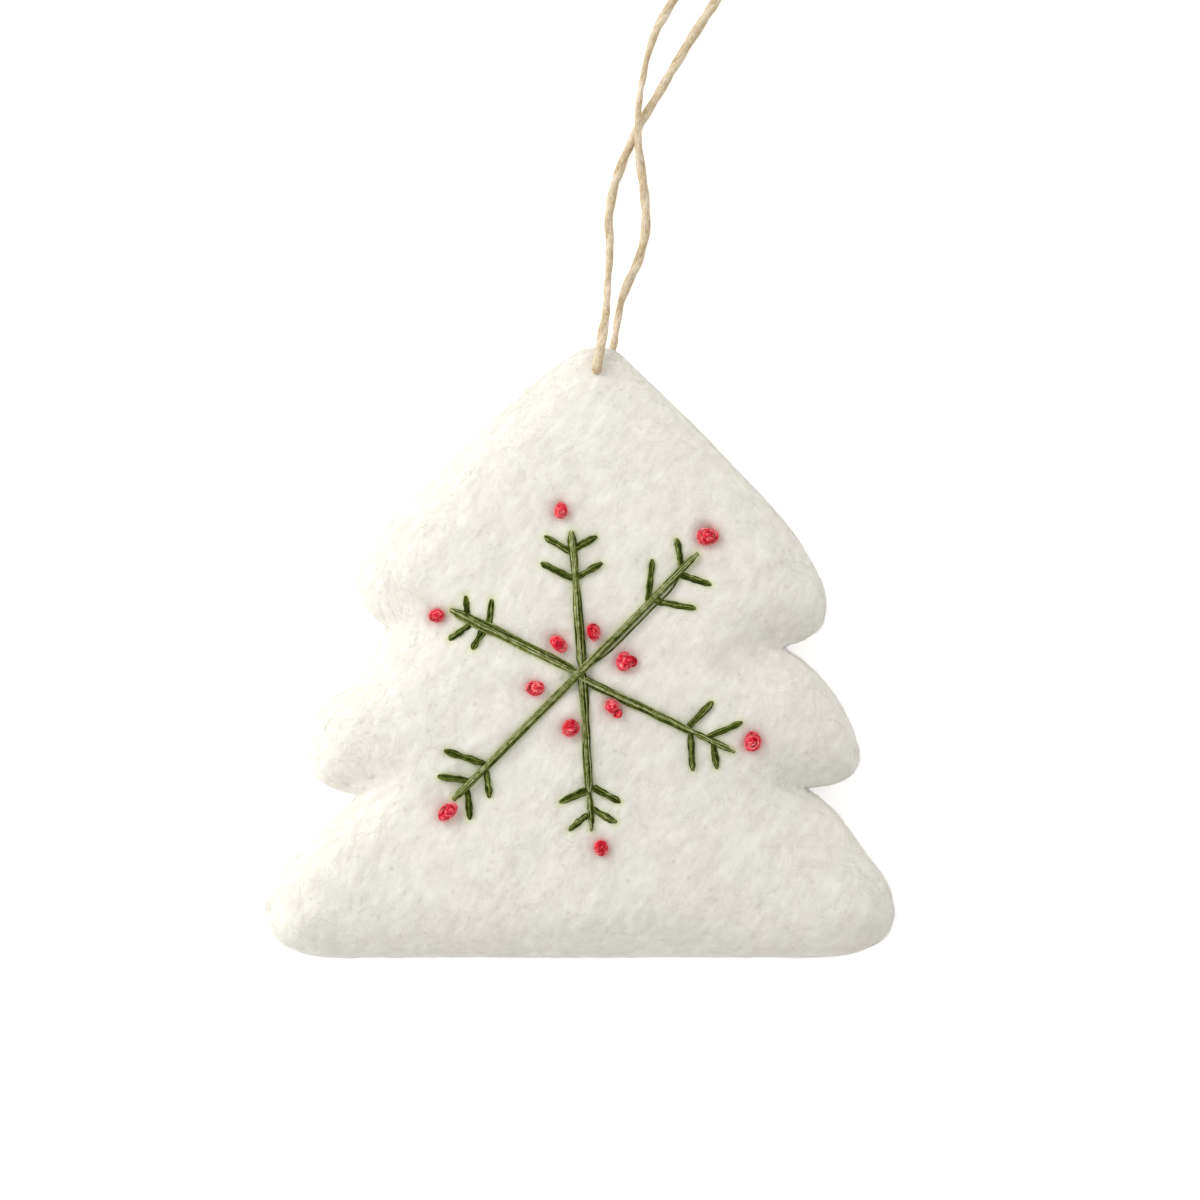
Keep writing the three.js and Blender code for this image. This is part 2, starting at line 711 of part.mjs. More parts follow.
stitches.forEach((stitch, i) => {
  let thread = toSolid(tubeThrough(stitchPoints(stitch), stitch.floss / 2, stitchSides));
  if (i === 0) {
    thread = thread.add(ballAt(startKnotPlace, greenStartKnot / 2));
  }
  addPiece(stitch.name, toGeometry(thread), colours.green);
});

ornamentKnots.forEach(({ name, points, turned }, i) => {
  const winding = tubeThrough(points, knotFloss / 2, knotSides).applyMatrix4(turned);
  let thread = toSolid(winding);
  if (i === 0) {
    thread = thread.add(ballAt(redStartPlace, redStartKnot / 2));
  }
  addPiece(name, toGeometry(thread), colours.red);
});
const tightest = Math.min(...ornamentKnots.map(({ points }) => leastGap(points, knotFloss)));
console.log(`least gap between the turns of a knot: ${tightest.toFixed(2)} mm`);

addPiece("twine_front_leg", twineTube(frontLeg, twine / 2, looseStepShare), colours.twine);
addPiece("twine_inside_tip", twineTube(inTip, twine / 2, bentStepShare), colours.twine);
addPiece("twine_back_leg", twineTube(backLeg, twine / 2, looseStepShare), colours.twine);
addPiece("twine_loop_knot", placedHitch(), colours.twine);

export default ornament;
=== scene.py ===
# A tree ornament of needle-felted wool with an embroidered snowflake lies on its back, its twine loop
# stretched out past the tip. The camera looks straight down on it. Every length is in metres.
import math
import random

import bmesh
import bpy
from mathutils import Matrix, Vector, noise
from mathutils.bvhtree import BVHTree


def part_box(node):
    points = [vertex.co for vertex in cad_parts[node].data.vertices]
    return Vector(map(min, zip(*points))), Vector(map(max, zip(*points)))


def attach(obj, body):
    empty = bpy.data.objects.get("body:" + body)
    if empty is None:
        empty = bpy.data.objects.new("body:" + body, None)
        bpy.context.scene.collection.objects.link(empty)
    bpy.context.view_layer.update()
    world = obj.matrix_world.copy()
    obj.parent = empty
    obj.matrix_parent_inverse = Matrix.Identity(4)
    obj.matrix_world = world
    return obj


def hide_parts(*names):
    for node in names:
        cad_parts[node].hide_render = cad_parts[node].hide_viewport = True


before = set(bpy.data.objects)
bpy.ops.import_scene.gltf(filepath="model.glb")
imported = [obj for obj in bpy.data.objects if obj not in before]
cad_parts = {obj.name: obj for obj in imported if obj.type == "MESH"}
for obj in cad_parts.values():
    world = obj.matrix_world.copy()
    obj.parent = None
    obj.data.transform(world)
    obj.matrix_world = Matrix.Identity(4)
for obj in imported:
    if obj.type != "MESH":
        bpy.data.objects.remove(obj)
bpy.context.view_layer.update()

MM = 0.001
TURN = 2 * math.pi
UP = Vector((0, 0, 1))
scene = bpy.context.scene


# Helpers for objects and meshes


def new_object(name, data):
    made = bpy.data.objects.new(name, data)
    scene.collection.objects.link(made)
    return made


def mesh_from(made, name):
    """A mesh of what a bmesh holds. The bmesh is freed."""
    mesh = bpy.data.meshes.new(name)
    made.to_mesh(mesh)
    made.free()
    return mesh


def evaluated_mesh(holder):
    """A mesh of an object with its modifiers or its bevel."""
    graph = bpy.context.evaluated_depsgraph_get()
    return bpy.data.meshes.new_from_object(holder.evaluated_get(graph))


# Camera: straight above, so that the frame spans what the photograph shows

FRAME_WIDTH = 190.48 * MM
FRAME_MIDDLE = (3.175 * MM, 8.17 * MM)
OUTLINE_HEIGHT = 8 * MM
LENS = 500
SENSOR = 36


def add_camera():
    data = bpy.data.cameras.new("camera_above")
    data.lens = LENS
    data.sensor_width = SENSOR
    camera = new_object("camera_above", data)
    distance = FRAME_WIDTH * LENS / SENSOR
    camera.location = (*FRAME_MIDDLE, OUTLINE_HEIGHT + distance)
    scene.camera = camera


add_camera()


# Helpers for colours, nodes and pieces


def linear(hex_code):
    """The linear colour of an sRGB hex code, with full alpha."""
    channels = [int(hex_code[i:i + 2], 16) / 255 for i in (1, 3, 5)]
    light = [c / 12.92 if c <= 0.04045 else ((c + 0.055) / 1.055) ** 2.4 for c in channels]
    return (*light, 1)


def fill_inputs(tree, node, inputs):
    """Sets a node's inputs. Each is a value, or another node's socket to link from."""
    for name, value in inputs.items():
        if isinstance(value, bpy.types.NodeSocket):
            tree.links.new(value, node.inputs[name])
        else:
            node.inputs[name].default_value = value


def add_node(tree, kind, inputs=None, **settings):
    """A new node with its settings and inputs."""
    made = tree.nodes.new(kind)
    for name, value in settings.items():
        setattr(made, name, value)
    fill_inputs(tree, made, inputs or {})
    return made


def noise_values(tree, place, scale, detail, roughness=0.5):
    return add_node(tree, "ShaderNodeTexNoise", {
        "Vector": place, "Scale": scale, "Detail": detail, "Roughness": roughness}).outputs["Fac"]


def map_range(tree, value, low, high, to_low=0.0, to_high=1.0, curve="LINEAR"):
    """A value whose range from low to high is stretched to another range, and held inside it."""
    return add_node(tree, "ShaderNodeMapRange", {
        "Value": value, "From Min": low, "From Max": high, "To Min": to_low, "To Max": to_high},
        interpolation_type=curve).outputs["Result"]


def mix_colours(tree, factor, first, second, blend="MIX"):
    """Two colours, each a hex code or a socket, mixed or multiplied."""
    first, second = [linear(one) if isinstance(one, str) else one for one in (first, second)]
    return add_node(tree, "ShaderNodeMix", {"Factor": factor, "A": first, "B": second},
                    data_type="RGBA", blend_type=blend).outputs["Result"]


def weighted_sum(tree, value, weight, other):
    """A value times its weight, plus another value."""
    return add_node(tree, "ShaderNodeMath", {0: value, 1: weight, 2: other},
                    operation="MULTIPLY_ADD").outputs["Value"]


def blank_material(name):
    """A material with an empty Principled shader, its node tree and that shader."""
    material = bpy.data.materials.new(name)
    material.use_nodes = True
    tree = material.node_tree
    return material, tree, tree.nodes["Principled BSDF"]


def add_piece(name, mesh, material, slot, *nodes):
    """An object at the origin that rides on the one body and stands for the named CAD nodes."""
    piece = new_object(name, mesh)
    mesh.materials.clear()
    mesh.materials.append(material)
    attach(piece, "root")
    if nodes:
        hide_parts(*nodes)
    return piece


def smooth_step(low, high, value):
    share = min(1, max(0, (value - low) / (high - low)))
    return share * share * (3 - 2 * share)


def plan_distance(a, b):
    """How far two points are apart, seen from above."""
    return math.hypot(a.x - b.x, a.y - b.y)


def plan_heading(turn):
    """The level direction at an angle from +X."""
    return Vector((math.cos(turn), math.sin(turn), 0))


# Strands: twine, floss and single fibres are all round strands along a line

STRAND_ENDS = 0.35


def closed_strand(strand):
    """The strand with a small point at both ends, so that its skin closes there."""
    (first, first_radius), (second, _) = strand[:2]
    (last, last_radius), (before, _) = strand[-1], strand[-2]
    head = first + (first - second).normalized() * first_radius * STRAND_ENDS
    foot = last + (last - before).normalized() * last_radius * STRAND_ENDS
    return [(head, 0.0), *strand, (foot, 0.0)]


def spread_shades(count, low=0.0, high=1.0):
    """Shades spread evenly from low to high, in a random order."""
    shades = [low + (high - low) * (i + random.random()) / count for i in range(count)]
    random.shuffle(shades)
    return shades


def strand_mesh(name, strands, corners, shades=None):
    """One mesh of closed strands, each a list of (point, radius).

    The attribute grain holds a point's place across and along its strand in metres. The attribute shade
    is one number for each strand, from 0 for dark to 1 for light.
    """
    shades = shades or spread_shades(len(strands))
    profile_curve = bpy.data.curves.new("profile", "CURVE")
    profile = profile_curve.splines.new("POLY")
    profile.points.add(corners - 1)
    for i, point in enumerate(profile.points):
        turn = TURN * i / corners
        point.co = (math.cos(turn), math.sin(turn), 0, 1)
    profile.use_cyclic_u = True
    profile_holder = new_object("profile", profile_curve)

    curve = bpy.data.curves.new(name, "CURVE")
    curve.dimensions = "3D"
    curve.bevel_mode = "OBJECT"
    curve.bevel_object = profile_holder
    closed = [closed_strand(strand) for strand in strands]
    for strand in closed:
        spline = curve.splines.new("POLY")
        spline.points.add(len(strand) - 1)
        spline.points.foreach_set("co", [c for point, _ in strand for c in (*point, 1)])
        spline.points.foreach_set("radius", [radius for _, radius in strand])
        spline.use_smooth = True
    holder = new_object(name, curve)
    mesh = evaluated_mesh(holder)

    grain = []
    shade = []
    for strand, own_shade in zip(closed, shades):
        along = random.random()
        last = strand[0][0]
        for point, radius in strand:
            along += (point - last).length
            last = point
            for corner in range(corners):
                turn = TURN * corner / corners
                grain += [radius * math.cos(turn), radius * math.sin(turn), along]
            shade += [own_shade] * corners
    mesh.attributes.new("grain", "FLOAT_VECTOR", "POINT").data.foreach_set("vector", grain)
    mesh.attributes.new("shade", "FLOAT", "POINT").data.foreach_set("value", shade)

    made = bmesh.new()
    made.from_mesh(mesh)
    bmesh.ops.remove_doubles(made, verts=made.verts, dist=MM / 10000)
    bmesh.ops.recalc_face_normals(made, faces=made.faces)
    made.to_mesh(mesh)
    made.free()
    for thing in (holder, profile_holder):
        data = thing.data
        bpy.data.objects.remove(thing)
        bpy.data.curves.remove(data)
    return mesh


def thread_mesh(name, strands, shades, strays, stray_shades, corners):
    """One mesh of a thread's round strands and of its loose fibres, which have three sides."""
    made = bmesh.new()
    for part in (strand_mesh(name, strands, corners, shades), strand_mesh(name, strays, 3, stray_shades)):
        made.from_mesh(part)
        bpy.data.meshes.remove(part)
    return mesh_from(made, name)


def curve_through(points, step):
    """Points a step apart on the smooth curve through the given points."""
    line = []
    padded = [points[0] * 2 - points[1], *points, points[-1] * 2 - points[-2]]
    for a, b, c, d in zip(padded, padded[1:], padded[2:], padded[3:]):
        pieces = max(1, round((c - b).length / step))
        for i in range(pieces):
            t = i / pieces
            line.append(0.5 * (2 * b + (c - a) * t + (2 * a - 5 * b + 4 * c - d) * t * t
                               + (3 * b - a - 3 * c + d) * t * t * t))
    line.append(points[-1].copy())
    return line


def frames_along(line):
    """For each point of a line, two directions across it that turn as little as they can."""
    across = (line[1] - line[0]).orthogonal().normalized()
    found = []
    for i, point in enumerate(line):
        ahead = (line[min(i + 1, len(line) - 1)] - line[max(i - 1, 0)]).normalized()
        across = (across - ahead * across.dot(ahead)).normalized()
        found.append((across, ahead.cross(across)))
    return found


def laid_plies(line, plies, ply_radius, from_middle, pitch, thickness=None, phase=0.0, wobble=0.0):
    """Plies twisted round a line, one turn in each pitch. thickness(share) scales them along it."""
    frames = frames_along(line)
    reach = [0.0]
    for a, b in zip(line, line[1:]):
        reach.append(reach[-1] + (b - a).length)
    made = []
    for ply in range(plies):
        strand = []
        for point, (across, beside), along in zip(line, frames, reach):
            scale = thickness(along / reach[-1]) if thickness else 1
            turn = TURN * (along / pitch + ply / plies) + phase
            turn += wobble * noise.noise(Vector((along / pitch * 1.7, ply * 9, phase)))
            outward = across * math.cos(turn) + beside * math.sin(turn)
            swell = 1 + 0.12 * noise.noise(Vector((along / pitch * 2.3, ply * 7 + 3, phase)))
            strand.append((point + outward * from_middle * scale, ply_radius * scale * swell))
        made.append(strand)
    return made


# Materials

FELT_TINT = 12 * MM
FELT_BLOTCH = 1.7 * MM
FELT_LAY = (1.2 * MM, 2.6 * MM, 1.6 * MM)
FELT_LAY_TURN = math.radians(33)
FELT_LAY_BEND = 20 * MM
FELT_LAY_SHIFT = 7 * MM
FELT_SPECK = 0.95 * MM
FELT_NAP = 0.35 * MM
FELT_PITS = 3.2 * MM


def wool_material():
    """Cream wool, needle-felted: matt and a little translucent, softly mottled, with a few needle pits."""
    material, tree, shader = blank_material("needle_felted_wool")
    place = add_node(tree, "ShaderNodeTexCoord").outputs["Object"]
    halo = add_node(tree, "ShaderNodeAttribute", attribute_name="halo").outputs["Color"]
    bend = add_node(tree, "ShaderNodeTexNoise", {
        "Vector": place, "Scale": 1 / FELT_LAY_BEND, "Detail": 1})
    bent = add_node(tree, "ShaderNodeVectorMath", {
        0: bend.outputs["Color"], 1: (FELT_LAY_SHIFT,) * 3, 2: place}, operation="MULTIPLY_ADD")
    laid = add_node(tree, "ShaderNodeMapping", {
        "Vector": bent.outputs["Vector"], "Rotation": (0, 0, FELT_LAY_TURN)})
    stretched = add_node(tree, "ShaderNodeVectorMath", {
        0: laid.outputs["Vector"], 1: FELT_LAY}, operation="DIVIDE").outputs["Vector"]
    lay = noise_values(tree, stretched, 1.0, 3, 0.6)
    blotches = noise_values(tree, stretched, FELT_LAY[0] / FELT_BLOTCH, 3)
    specks_and_shade = noise_values(tree, stretched, FELT_LAY[0] / FELT_SPECK, 3, 0.6)
    tints = noise_values(tree, place, 1 / FELT_TINT, 2)
    nap = noise_values(tree, place, 1 / FELT_NAP, 4, 0.7)
    cells = add_node(tree, "ShaderNodeTexVoronoi", {"Vector": place, "Scale": 1 / FELT_PITS})
    pits = map_range(tree, cells.outputs["Distance"], 0.18, 0.02, 0.0, 0.55, "SMOOTHSTEP")

    colour = mix_colours(tree, map_range(tree, blotches, 0.3, 0.7), "#eae7e1", "#f9f7f3")
    # Lay streaks and specks darken the wool where their noise is low, where the bump sinks too: the wool's
    # own uneven tone with painted shade in its hollows.
    colour = mix_colours(tree, map_range(tree, lay, 0.3, 0.7, 0.32, 0.0), colour, "#dad6ca")
    tint = mix_colours(tree, map_range(tree, tints, 0.35, 0.65), "#fcfaf6", "#fafbf5")
    colour = mix_colours(tree, 1.0, colour, tint, "MULTIPLY")
    colour = mix_colours(tree, map_range(tree, specks_and_shade, 0.5, 0.3, 0.0, 0.3), colour, "#e0d9c4")
    # Needle pits are darkened in colour as well as sunk in the bump: painted shade in the pits.
    colour = mix_colours(tree, pits, colour, "#d0cab9")
    # The floss tint on the wool beside the threads: partly dye, partly painted light bounced off the floss.
    colour = mix_colours(tree, 1.0, colour, halo, "MULTIPLY")

    rise = weighted_sum(tree, specks_and_shade, 2.4, weighted_sum(tree, lay, 1.2, nap))
    sunk = add_node(tree, "ShaderNodeMath", {0: rise, 1: pits}, operation="SUBTRACT")
    bump = add_node(tree, "ShaderNodeBump", {
        "Height": sunk.outputs["Value"], "Strength": 0.6, "Distance": 0.05 * MM})
    fill_inputs(tree, shader, {
        "Base Color": colour, "Normal": bump.outputs["Normal"], "Roughness": 0.95,
        "Specular IOR Level": 0.15, "Sheen Weight": 0.3, "Sheen Roughness": 0.6,
        "Subsurface Weight": 0.2, "Subsurface Radius": (1.0, 0.95, 0.85),
        "Subsurface Scale": 1.2 * MM})
    return material


def fibre_material():
    """Single wool fibres: the wool's own cream, each a little lighter or darker than the next."""
    material, tree, shader = blank_material("wool_fibres")
    shade = add_node(tree, "ShaderNodeAttribute", attribute_name="shade").outputs["Fac"]
    fill_inputs(tree, shader, {
        "Base Color": mix_colours(tree, shade, "#f1ede4", "#fbf9f4"), "Roughness": 0.8,
        "Specular IOR Level": 0.3, "Sheen Weight": 0.2})
    return material


TONE_REACH = 0.35
STREAK_LENGTH = 6


def thread_material(name, tones, gloss, filament, relief, strand_weight, patch_weight, patch):
    """Spun thread: filaments along each strand, lighter and darker strands, and patches along the thread.

    Tones run from dark to light as (share, colour). The weights say how much a strand's own shade and the
    patches count beside the filaments.
    """
    material, tree, shader = blank_material(name)
    grain = add_node(tree, "ShaderNodeAttribute", attribute_name="grain").outputs["Vector"]
    shade = add_node(tree, "ShaderNodeAttribute", attribute_name="shade").outputs["Fac"]
    place = add_node(tree, "ShaderNodeTexCoord").outputs["Object"]
    lines = add_node(tree, "ShaderNodeMapping", {
        "Vector": grain, "Scale": (1 / filament, 1 / filament, 1 / (STREAK_LENGTH * filament))})
    streaks = noise_values(tree, lines.outputs["Vector"], 1.0, 3, 0.6)
    patches = noise_values(tree, place, 1 / patch, 4, 0.65)
    tone = weighted_sum(tree, shade, strand_weight, weighted_sum(tree, patches, patch_weight, streaks))
    middle = 0.5 * (1 + strand_weight + patch_weight)
    ramp = add_node(tree, "ShaderNodeValToRGB", {
        "Fac": map_range(tree, tone, middle - TONE_REACH, middle + TONE_REACH)})
    stops = ramp.color_ramp.elements
    stops[0].color = linear(tones[0][1])
    stops[1].color = linear(tones[-1][1])
    for share, colour in tones[1:-1]:
        stops.new(share).color = linear(colour)
    bump = add_node(tree, "ShaderNodeBump", {
        "Height": streaks, "Strength": relief, "Distance": filament})
    fill_inputs(tree, shader, {
        "Base Color": ramp.outputs["Color"], "Normal": bump.outputs["Normal"], "Roughness": gloss,
        "Specular IOR Level": 0.08})
    return material


GREEN_TONES = [(0, "#28320a"), (0.3, "#4d5a17"), (0.6, "#707b36"), (0.85, "#a1a966"), (1, "#cdd1a4")]
RED_TONES = [(0, "#86081a"), (0.32, "#cb152c"), (0.6, "#ee3c4e"), (1, "#ffa3a4")]
HEMP_TONES = [(0, "#9c835c"), (0.35, "#c8b28e"), (0.65, "#e0d0b5"), (1, "#f3ebde")]

wool = wool_material()
fibres = fibre_material()
green_floss = thread_material("green_cotton_floss", GREEN_TONES, 0.6, 0.12 * MM, 0.6, 0.5, 0.9, 0.9 * MM)
red_floss = thread_material("red_cotton_floss", RED_TONES, 0.7, 0.13 * MM, 0.25, 0.3, 1.4, 0.8 * MM)
hemp = thread_material("hemp_twine", HEMP_TONES, 0.85, 0.11 * MM, 0.7, 0.15, 0.6, 2.2 * MM)


# Twine: one length of two plies, from the knot down the front, through the tip and back up behind


def in_metres(route):
    """A route whose points are given in millimetres."""
    return [tuple(round(value * MM, 8) for value in point) for point in route]


FRONT_LEG_ROUTE = in_metres([
    (34.9, 127.45, 1.7), (34.1, 126.1, 1.6), (31.3, 120.6, 0.8), (28, 114.6, 0.68),
    (24.7, 108.9, 0.68), (21.5, 103.4, 0.68), (17.1, 96.6, 0.68), (14.2, 91.7, 0.68),
    (10.8, 86, 0.68), (9, 82.8, 0.68), (7.3, 79.1, 0.68), (5.5, 74.2, 0.68), (4.6, 69, 0.68),
    (4.7, 65, 0.7), (4.6, 61, 1.6), (4.4, 58.2, 3.3), (4.25, 55.4, 5.9), (4, 52.8, 8.6),
    (3.6, 50.3, 10.7), (3.2, 47.9, 12.4), (2.8, 45.9, 13.5), (2.6, 44.6, 13.1),
])
THROUGH_ROUTE = in_metres([
    (2.6, 44.6, 13.1), (2.8, 44, 11.4), (3.3, 44.1, 9.2), (3.9, 44.6, 6.8), (4.5, 45.6, 4.3),
])
BACK_LEG_ROUTE = in_metres([
    (4.5, 45.6, 4.3), (4.9, 47.2, 3), (5.4, 49.1, 2.5), (5.75, 51.2, 1.9), (6.1, 53.3, 1.3),
    (6.6, 55.8, 0.85), (7.6, 58.5, 0.68), (9.4, 62.5, 0.68), (10.4, 67, 0.68), (10.4, 71, 0.7),
    (10, 75, 0.95), (9.6, 77.6, 1.4), (9.35, 80.2, 2.05), (9.2, 83.2, 2.42), (9.25, 86, 2.1),
    (9.6, 88.8, 1.35), (10.1, 91.6, 0.85), (10.8, 94.9, 0.68), (12.2, 99, 0.68), (14.7, 103.4, 0.68),
    (18, 108.4, 0.68), (21.9, 113.6, 0.68), (25.9, 118.4, 0.75), (29.9, 123.4, 1.1),
    (32.65, 126.98, 1.6), (33.5, 128.35, 1.7),
])
TWINE = 1.3 * MM
TWINE_PLY = 0.42 * TWINE
TWINE_PLY_OUT = 0.09 * TWINE
TWINE_PITCH = 10 * MM
TWINE_STEP = 0.3 * MM
TWINE_CORNERS = 10
TWINE_CORE = 0.42 * TWINE
TWINE_WOBBLE = 0.9
TWINE_FIBRE = 0.02 * MM
TWINE_FIBRE_SHADES = (0.6, 1.6)
LEG_STRAYS = 90
TIP_STRAYS = 4
TAIL_STRAYS = 20


def front_thickness(share):
    """The front leg is thick, thinner above the tip, and frayed thick where it goes in."""
    thinner = 0.08 * smooth_step(0.3, 0.5, share) + 0.2 * smooth_step(0.72, 0.78, share)
    return 1.22 - thinner + 0.36 * smooth_step(0.84, 0.95, share)


def back_thickness(share):
    """The back leg is thin near the tip and where it crosses the front one, and thicker between."""
    thicker = 0.22 * smooth_step(0.1, 0.17, share) + 0.35 * smooth_step(0.56, 0.62, share)
    return 0.93 + thicker - 0.36 * smooth_step(0.36, 0.45, share)


def path_length(points):
    return sum((b - a).length for a, b in zip(points, points[1:]))


def twine_plies(line, thickness=None, phase=0.0, wobble=0.0):
    return laid_plies(line, 2, TWINE_PLY, TWINE_PLY_OUT, TWINE_PITCH, thickness, phase, wobble)


STRAY_STEPS = 4
STRAY_CURVE = 1.6
STRAY_TAPER = 0.6


def stray_fibres(line, count, core, out, length, radius, first=2):
    """Short loose fibres that leave a thread at a low angle."""
    frames = frames_along(line)
    made = []
    for _ in range(count):
        start = random.randrange(first, len(line) - 2)
        turn = random.uniform(0, TURN)
        across, beside = frames[start]
        outward = across * math.cos(turn) + beside * math.sin(turn)
        ahead = (line[start + 1] - line[start]).normalized() * random.choice((-1, 1))
        reach = random.uniform(0.5, 1) * length
        lift = random.uniform(0.15, 1) * out
        strand = []
        for i in range(STRAY_STEPS + 1):
            share = i / STRAY_STEPS
            spot = line[start] + outward * (core + lift * share ** STRAY_CURVE) + ahead * reach * share
            spot.z = max(spot.z, radius)
            strand.append((spot, radius * (1 - STRAY_TAPER * share)))
        made.append(strand)
    return made


def twine_piece(name, node, route, thickness, phase, strays):
    points = [Vector(p) for p in route]
    line = curve_through(points, TWINE_STEP)
    strands = twine_plies(line, thickness, phase, TWINE_WOBBLE)
    for strand in strands:
        for point, radius in strand:
            point.z = max(point.z, radius)
    fuzz = stray_fibres(line, strays, TWINE_CORE, 0.5 * MM, 3 * MM, TWINE_FIBRE)
    mesh = thread_mesh(name, strands, spread_shades(len(strands)), fuzz,
                       spread_shades(strays, *TWINE_FIBRE_SHADES), TWINE_CORNERS)
    return add_piece(name, mesh, hemp, "natural_twine", node), points


random.seed(11)
front_leg, front_points = twine_piece(
    "twine_front_leg_laid", "twine_front_leg", FRONT_LEG_ROUTE, front_thickness, 0.4, LEG_STRAYS)
back_leg, back_points = twine_piece(
    "twine_back_leg_laid", "twine_back_leg", BACK_LEG_ROUTE, back_thickness, 2.1, LEG_STRAYS)
twine_piece("twine_inside_tip_laid", "twine_inside_tip", THROUGH_ROUTE, None, 0.0, TIP_STRAYS)

# The loop's knot is an overhand knot in both legs: a core of the two, three turns round it, two tails

KNOT_RADIUS = 1.35 * MM
KNOT_TURNS = 2.6
TAIL = 9 * MM
TAIL_SHARES = [(0, 0, 0), (0.25, 0.07, -0.02), (0.6, 0.22, -0.13), (1, 0.3, -0.14)]
CORE_SHARES = (-2, -0.8, 0.6, 1.6)
CORE_APART = 0.45
TURN_STEPS = 60


def tail_thickness(share):
    return 1 - 0.2 * smooth_step(0.8, 1, share)


def loop_knot_strands():
    """The knot's strands and stray fibres about its own middle, its X axis along the loop."""
    strands = []
    fuzz = []
    for side in (-1, 1):
        core = [Vector((x * KNOT_RADIUS, side * CORE_APART * KNOT_RADIUS, 0)) for x in CORE_SHARES]
        strands += twine_plies(curve_through(core, TWINE_STEP), None, side)
        tail = [Vector((x, y * side, z)) * TAIL for x, y, z in TAIL_SHARES]
        tail_line = curve_through(tail, TWINE_STEP)
        strands += twine_plies(tail_line, tail_thickness, side + 2, TWINE_WOBBLE)
        fuzz += stray_fibres(tail_line, TAIL_STRAYS, TWINE_CORE, 0.6 * MM, 2.5 * MM, TWINE_FIBRE)
    turns = []
    for i in range(TURN_STEPS + 1):
        share = i / TURN_STEPS
        turn = TURN * KNOT_TURNS * share
        out = KNOT_RADIUS * (0.95 - 0.45 * smooth_step(0.93, 1, share) - 0.45 * smooth_step(0.07, 0, share))
        x = KNOT_RADIUS * (-1.05 + 2.1 * share + 0.28 * math.sin(turn))
        turns.append(Vector((x, out * math.cos(turn), out * math.sin(turn))))
    strands += twine_plies(turns, None, 1.3)
    return strands, fuzz


def add_loop_knot():
    apart = front_points[0] - back_points[-1]
    heading = Vector((-apart.y, apart.x, 0)).normalized()
    sideways = UP.cross(heading)
    middle = (front_points[0] + back_points[-1]) / 2 + heading * 2.0 * KNOT_RADIUS
    middle.z = KNOT_RADIUS * 1.42
    placed = []
    for strands in loop_knot_strands():
        moved = []
        for strand in strands:
            spots = [middle + heading * p.x + sideways * p.y + UP * p.z for p, _ in strand]
            moved.append([(Vector((s.x, s.y, max(s.z, r))), r) for s, (_, r) in zip(spots, strand)])
        placed.append(moved)
    tied, fuzz = placed
    mesh = thread_mesh("twine_loop_knot_tied", tied, spread_shades(len(tied)), fuzz,
                       spread_shades(len(fuzz), *TWINE_FIBRE_SHADES), TWINE_CORNERS)
    return add_piece("twine_loop_knot_tied", mesh, hemp, "natural_twine", "twine_loop_knot")


loop_knot = add_loop_knot()


# Stitches: each lies where its solid lies, and its line is found on that solid

ARM_NAMES = [
    "green_diagonal_stitch", "green_north_arm", "green_northwest_arm", "green_south_arm",
    "green_south_arm_tip", "green_southeast_arm", "green_southeast_arm_tip",
]
SIDE_NAMES = [
    f"green_{arm}_{place}_{side}"
    for arm in ("north", "northeast", "southeast", "south", "southwest", "northwest")
    for place in ("inner", "outer")
    for side in ("left", "right")
]
ARM_RADIUS = 0.625 * MM
SIDE_RADIUS = 0.475 * MM
LINE_STEPS = 24
LEVEL_STEPS = 4
LEVEL_SLOPE = 0.5
NEAR_STITCH = 3 * MM


def tree_of(points, polygons):
    return BVHTree.FromPolygons(points, polygons)


def node_points(name):
    return [v.co.copy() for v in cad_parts[name].data.vertices]


def plan_axis(points):
    """The direction of a solid's greatest spread, seen from above."""
    middle = sum(points, Vector()) / len(points)
    across = sum((p.x - middle.x) ** 2 for p in points)
    both = sum((p.x - middle.x) * (p.y - middle.y) for p in points)
    along = sum((p.y - middle.y) ** 2 for p in points)
    return plan_heading(0.5 * math.atan2(2 * both, across - along))


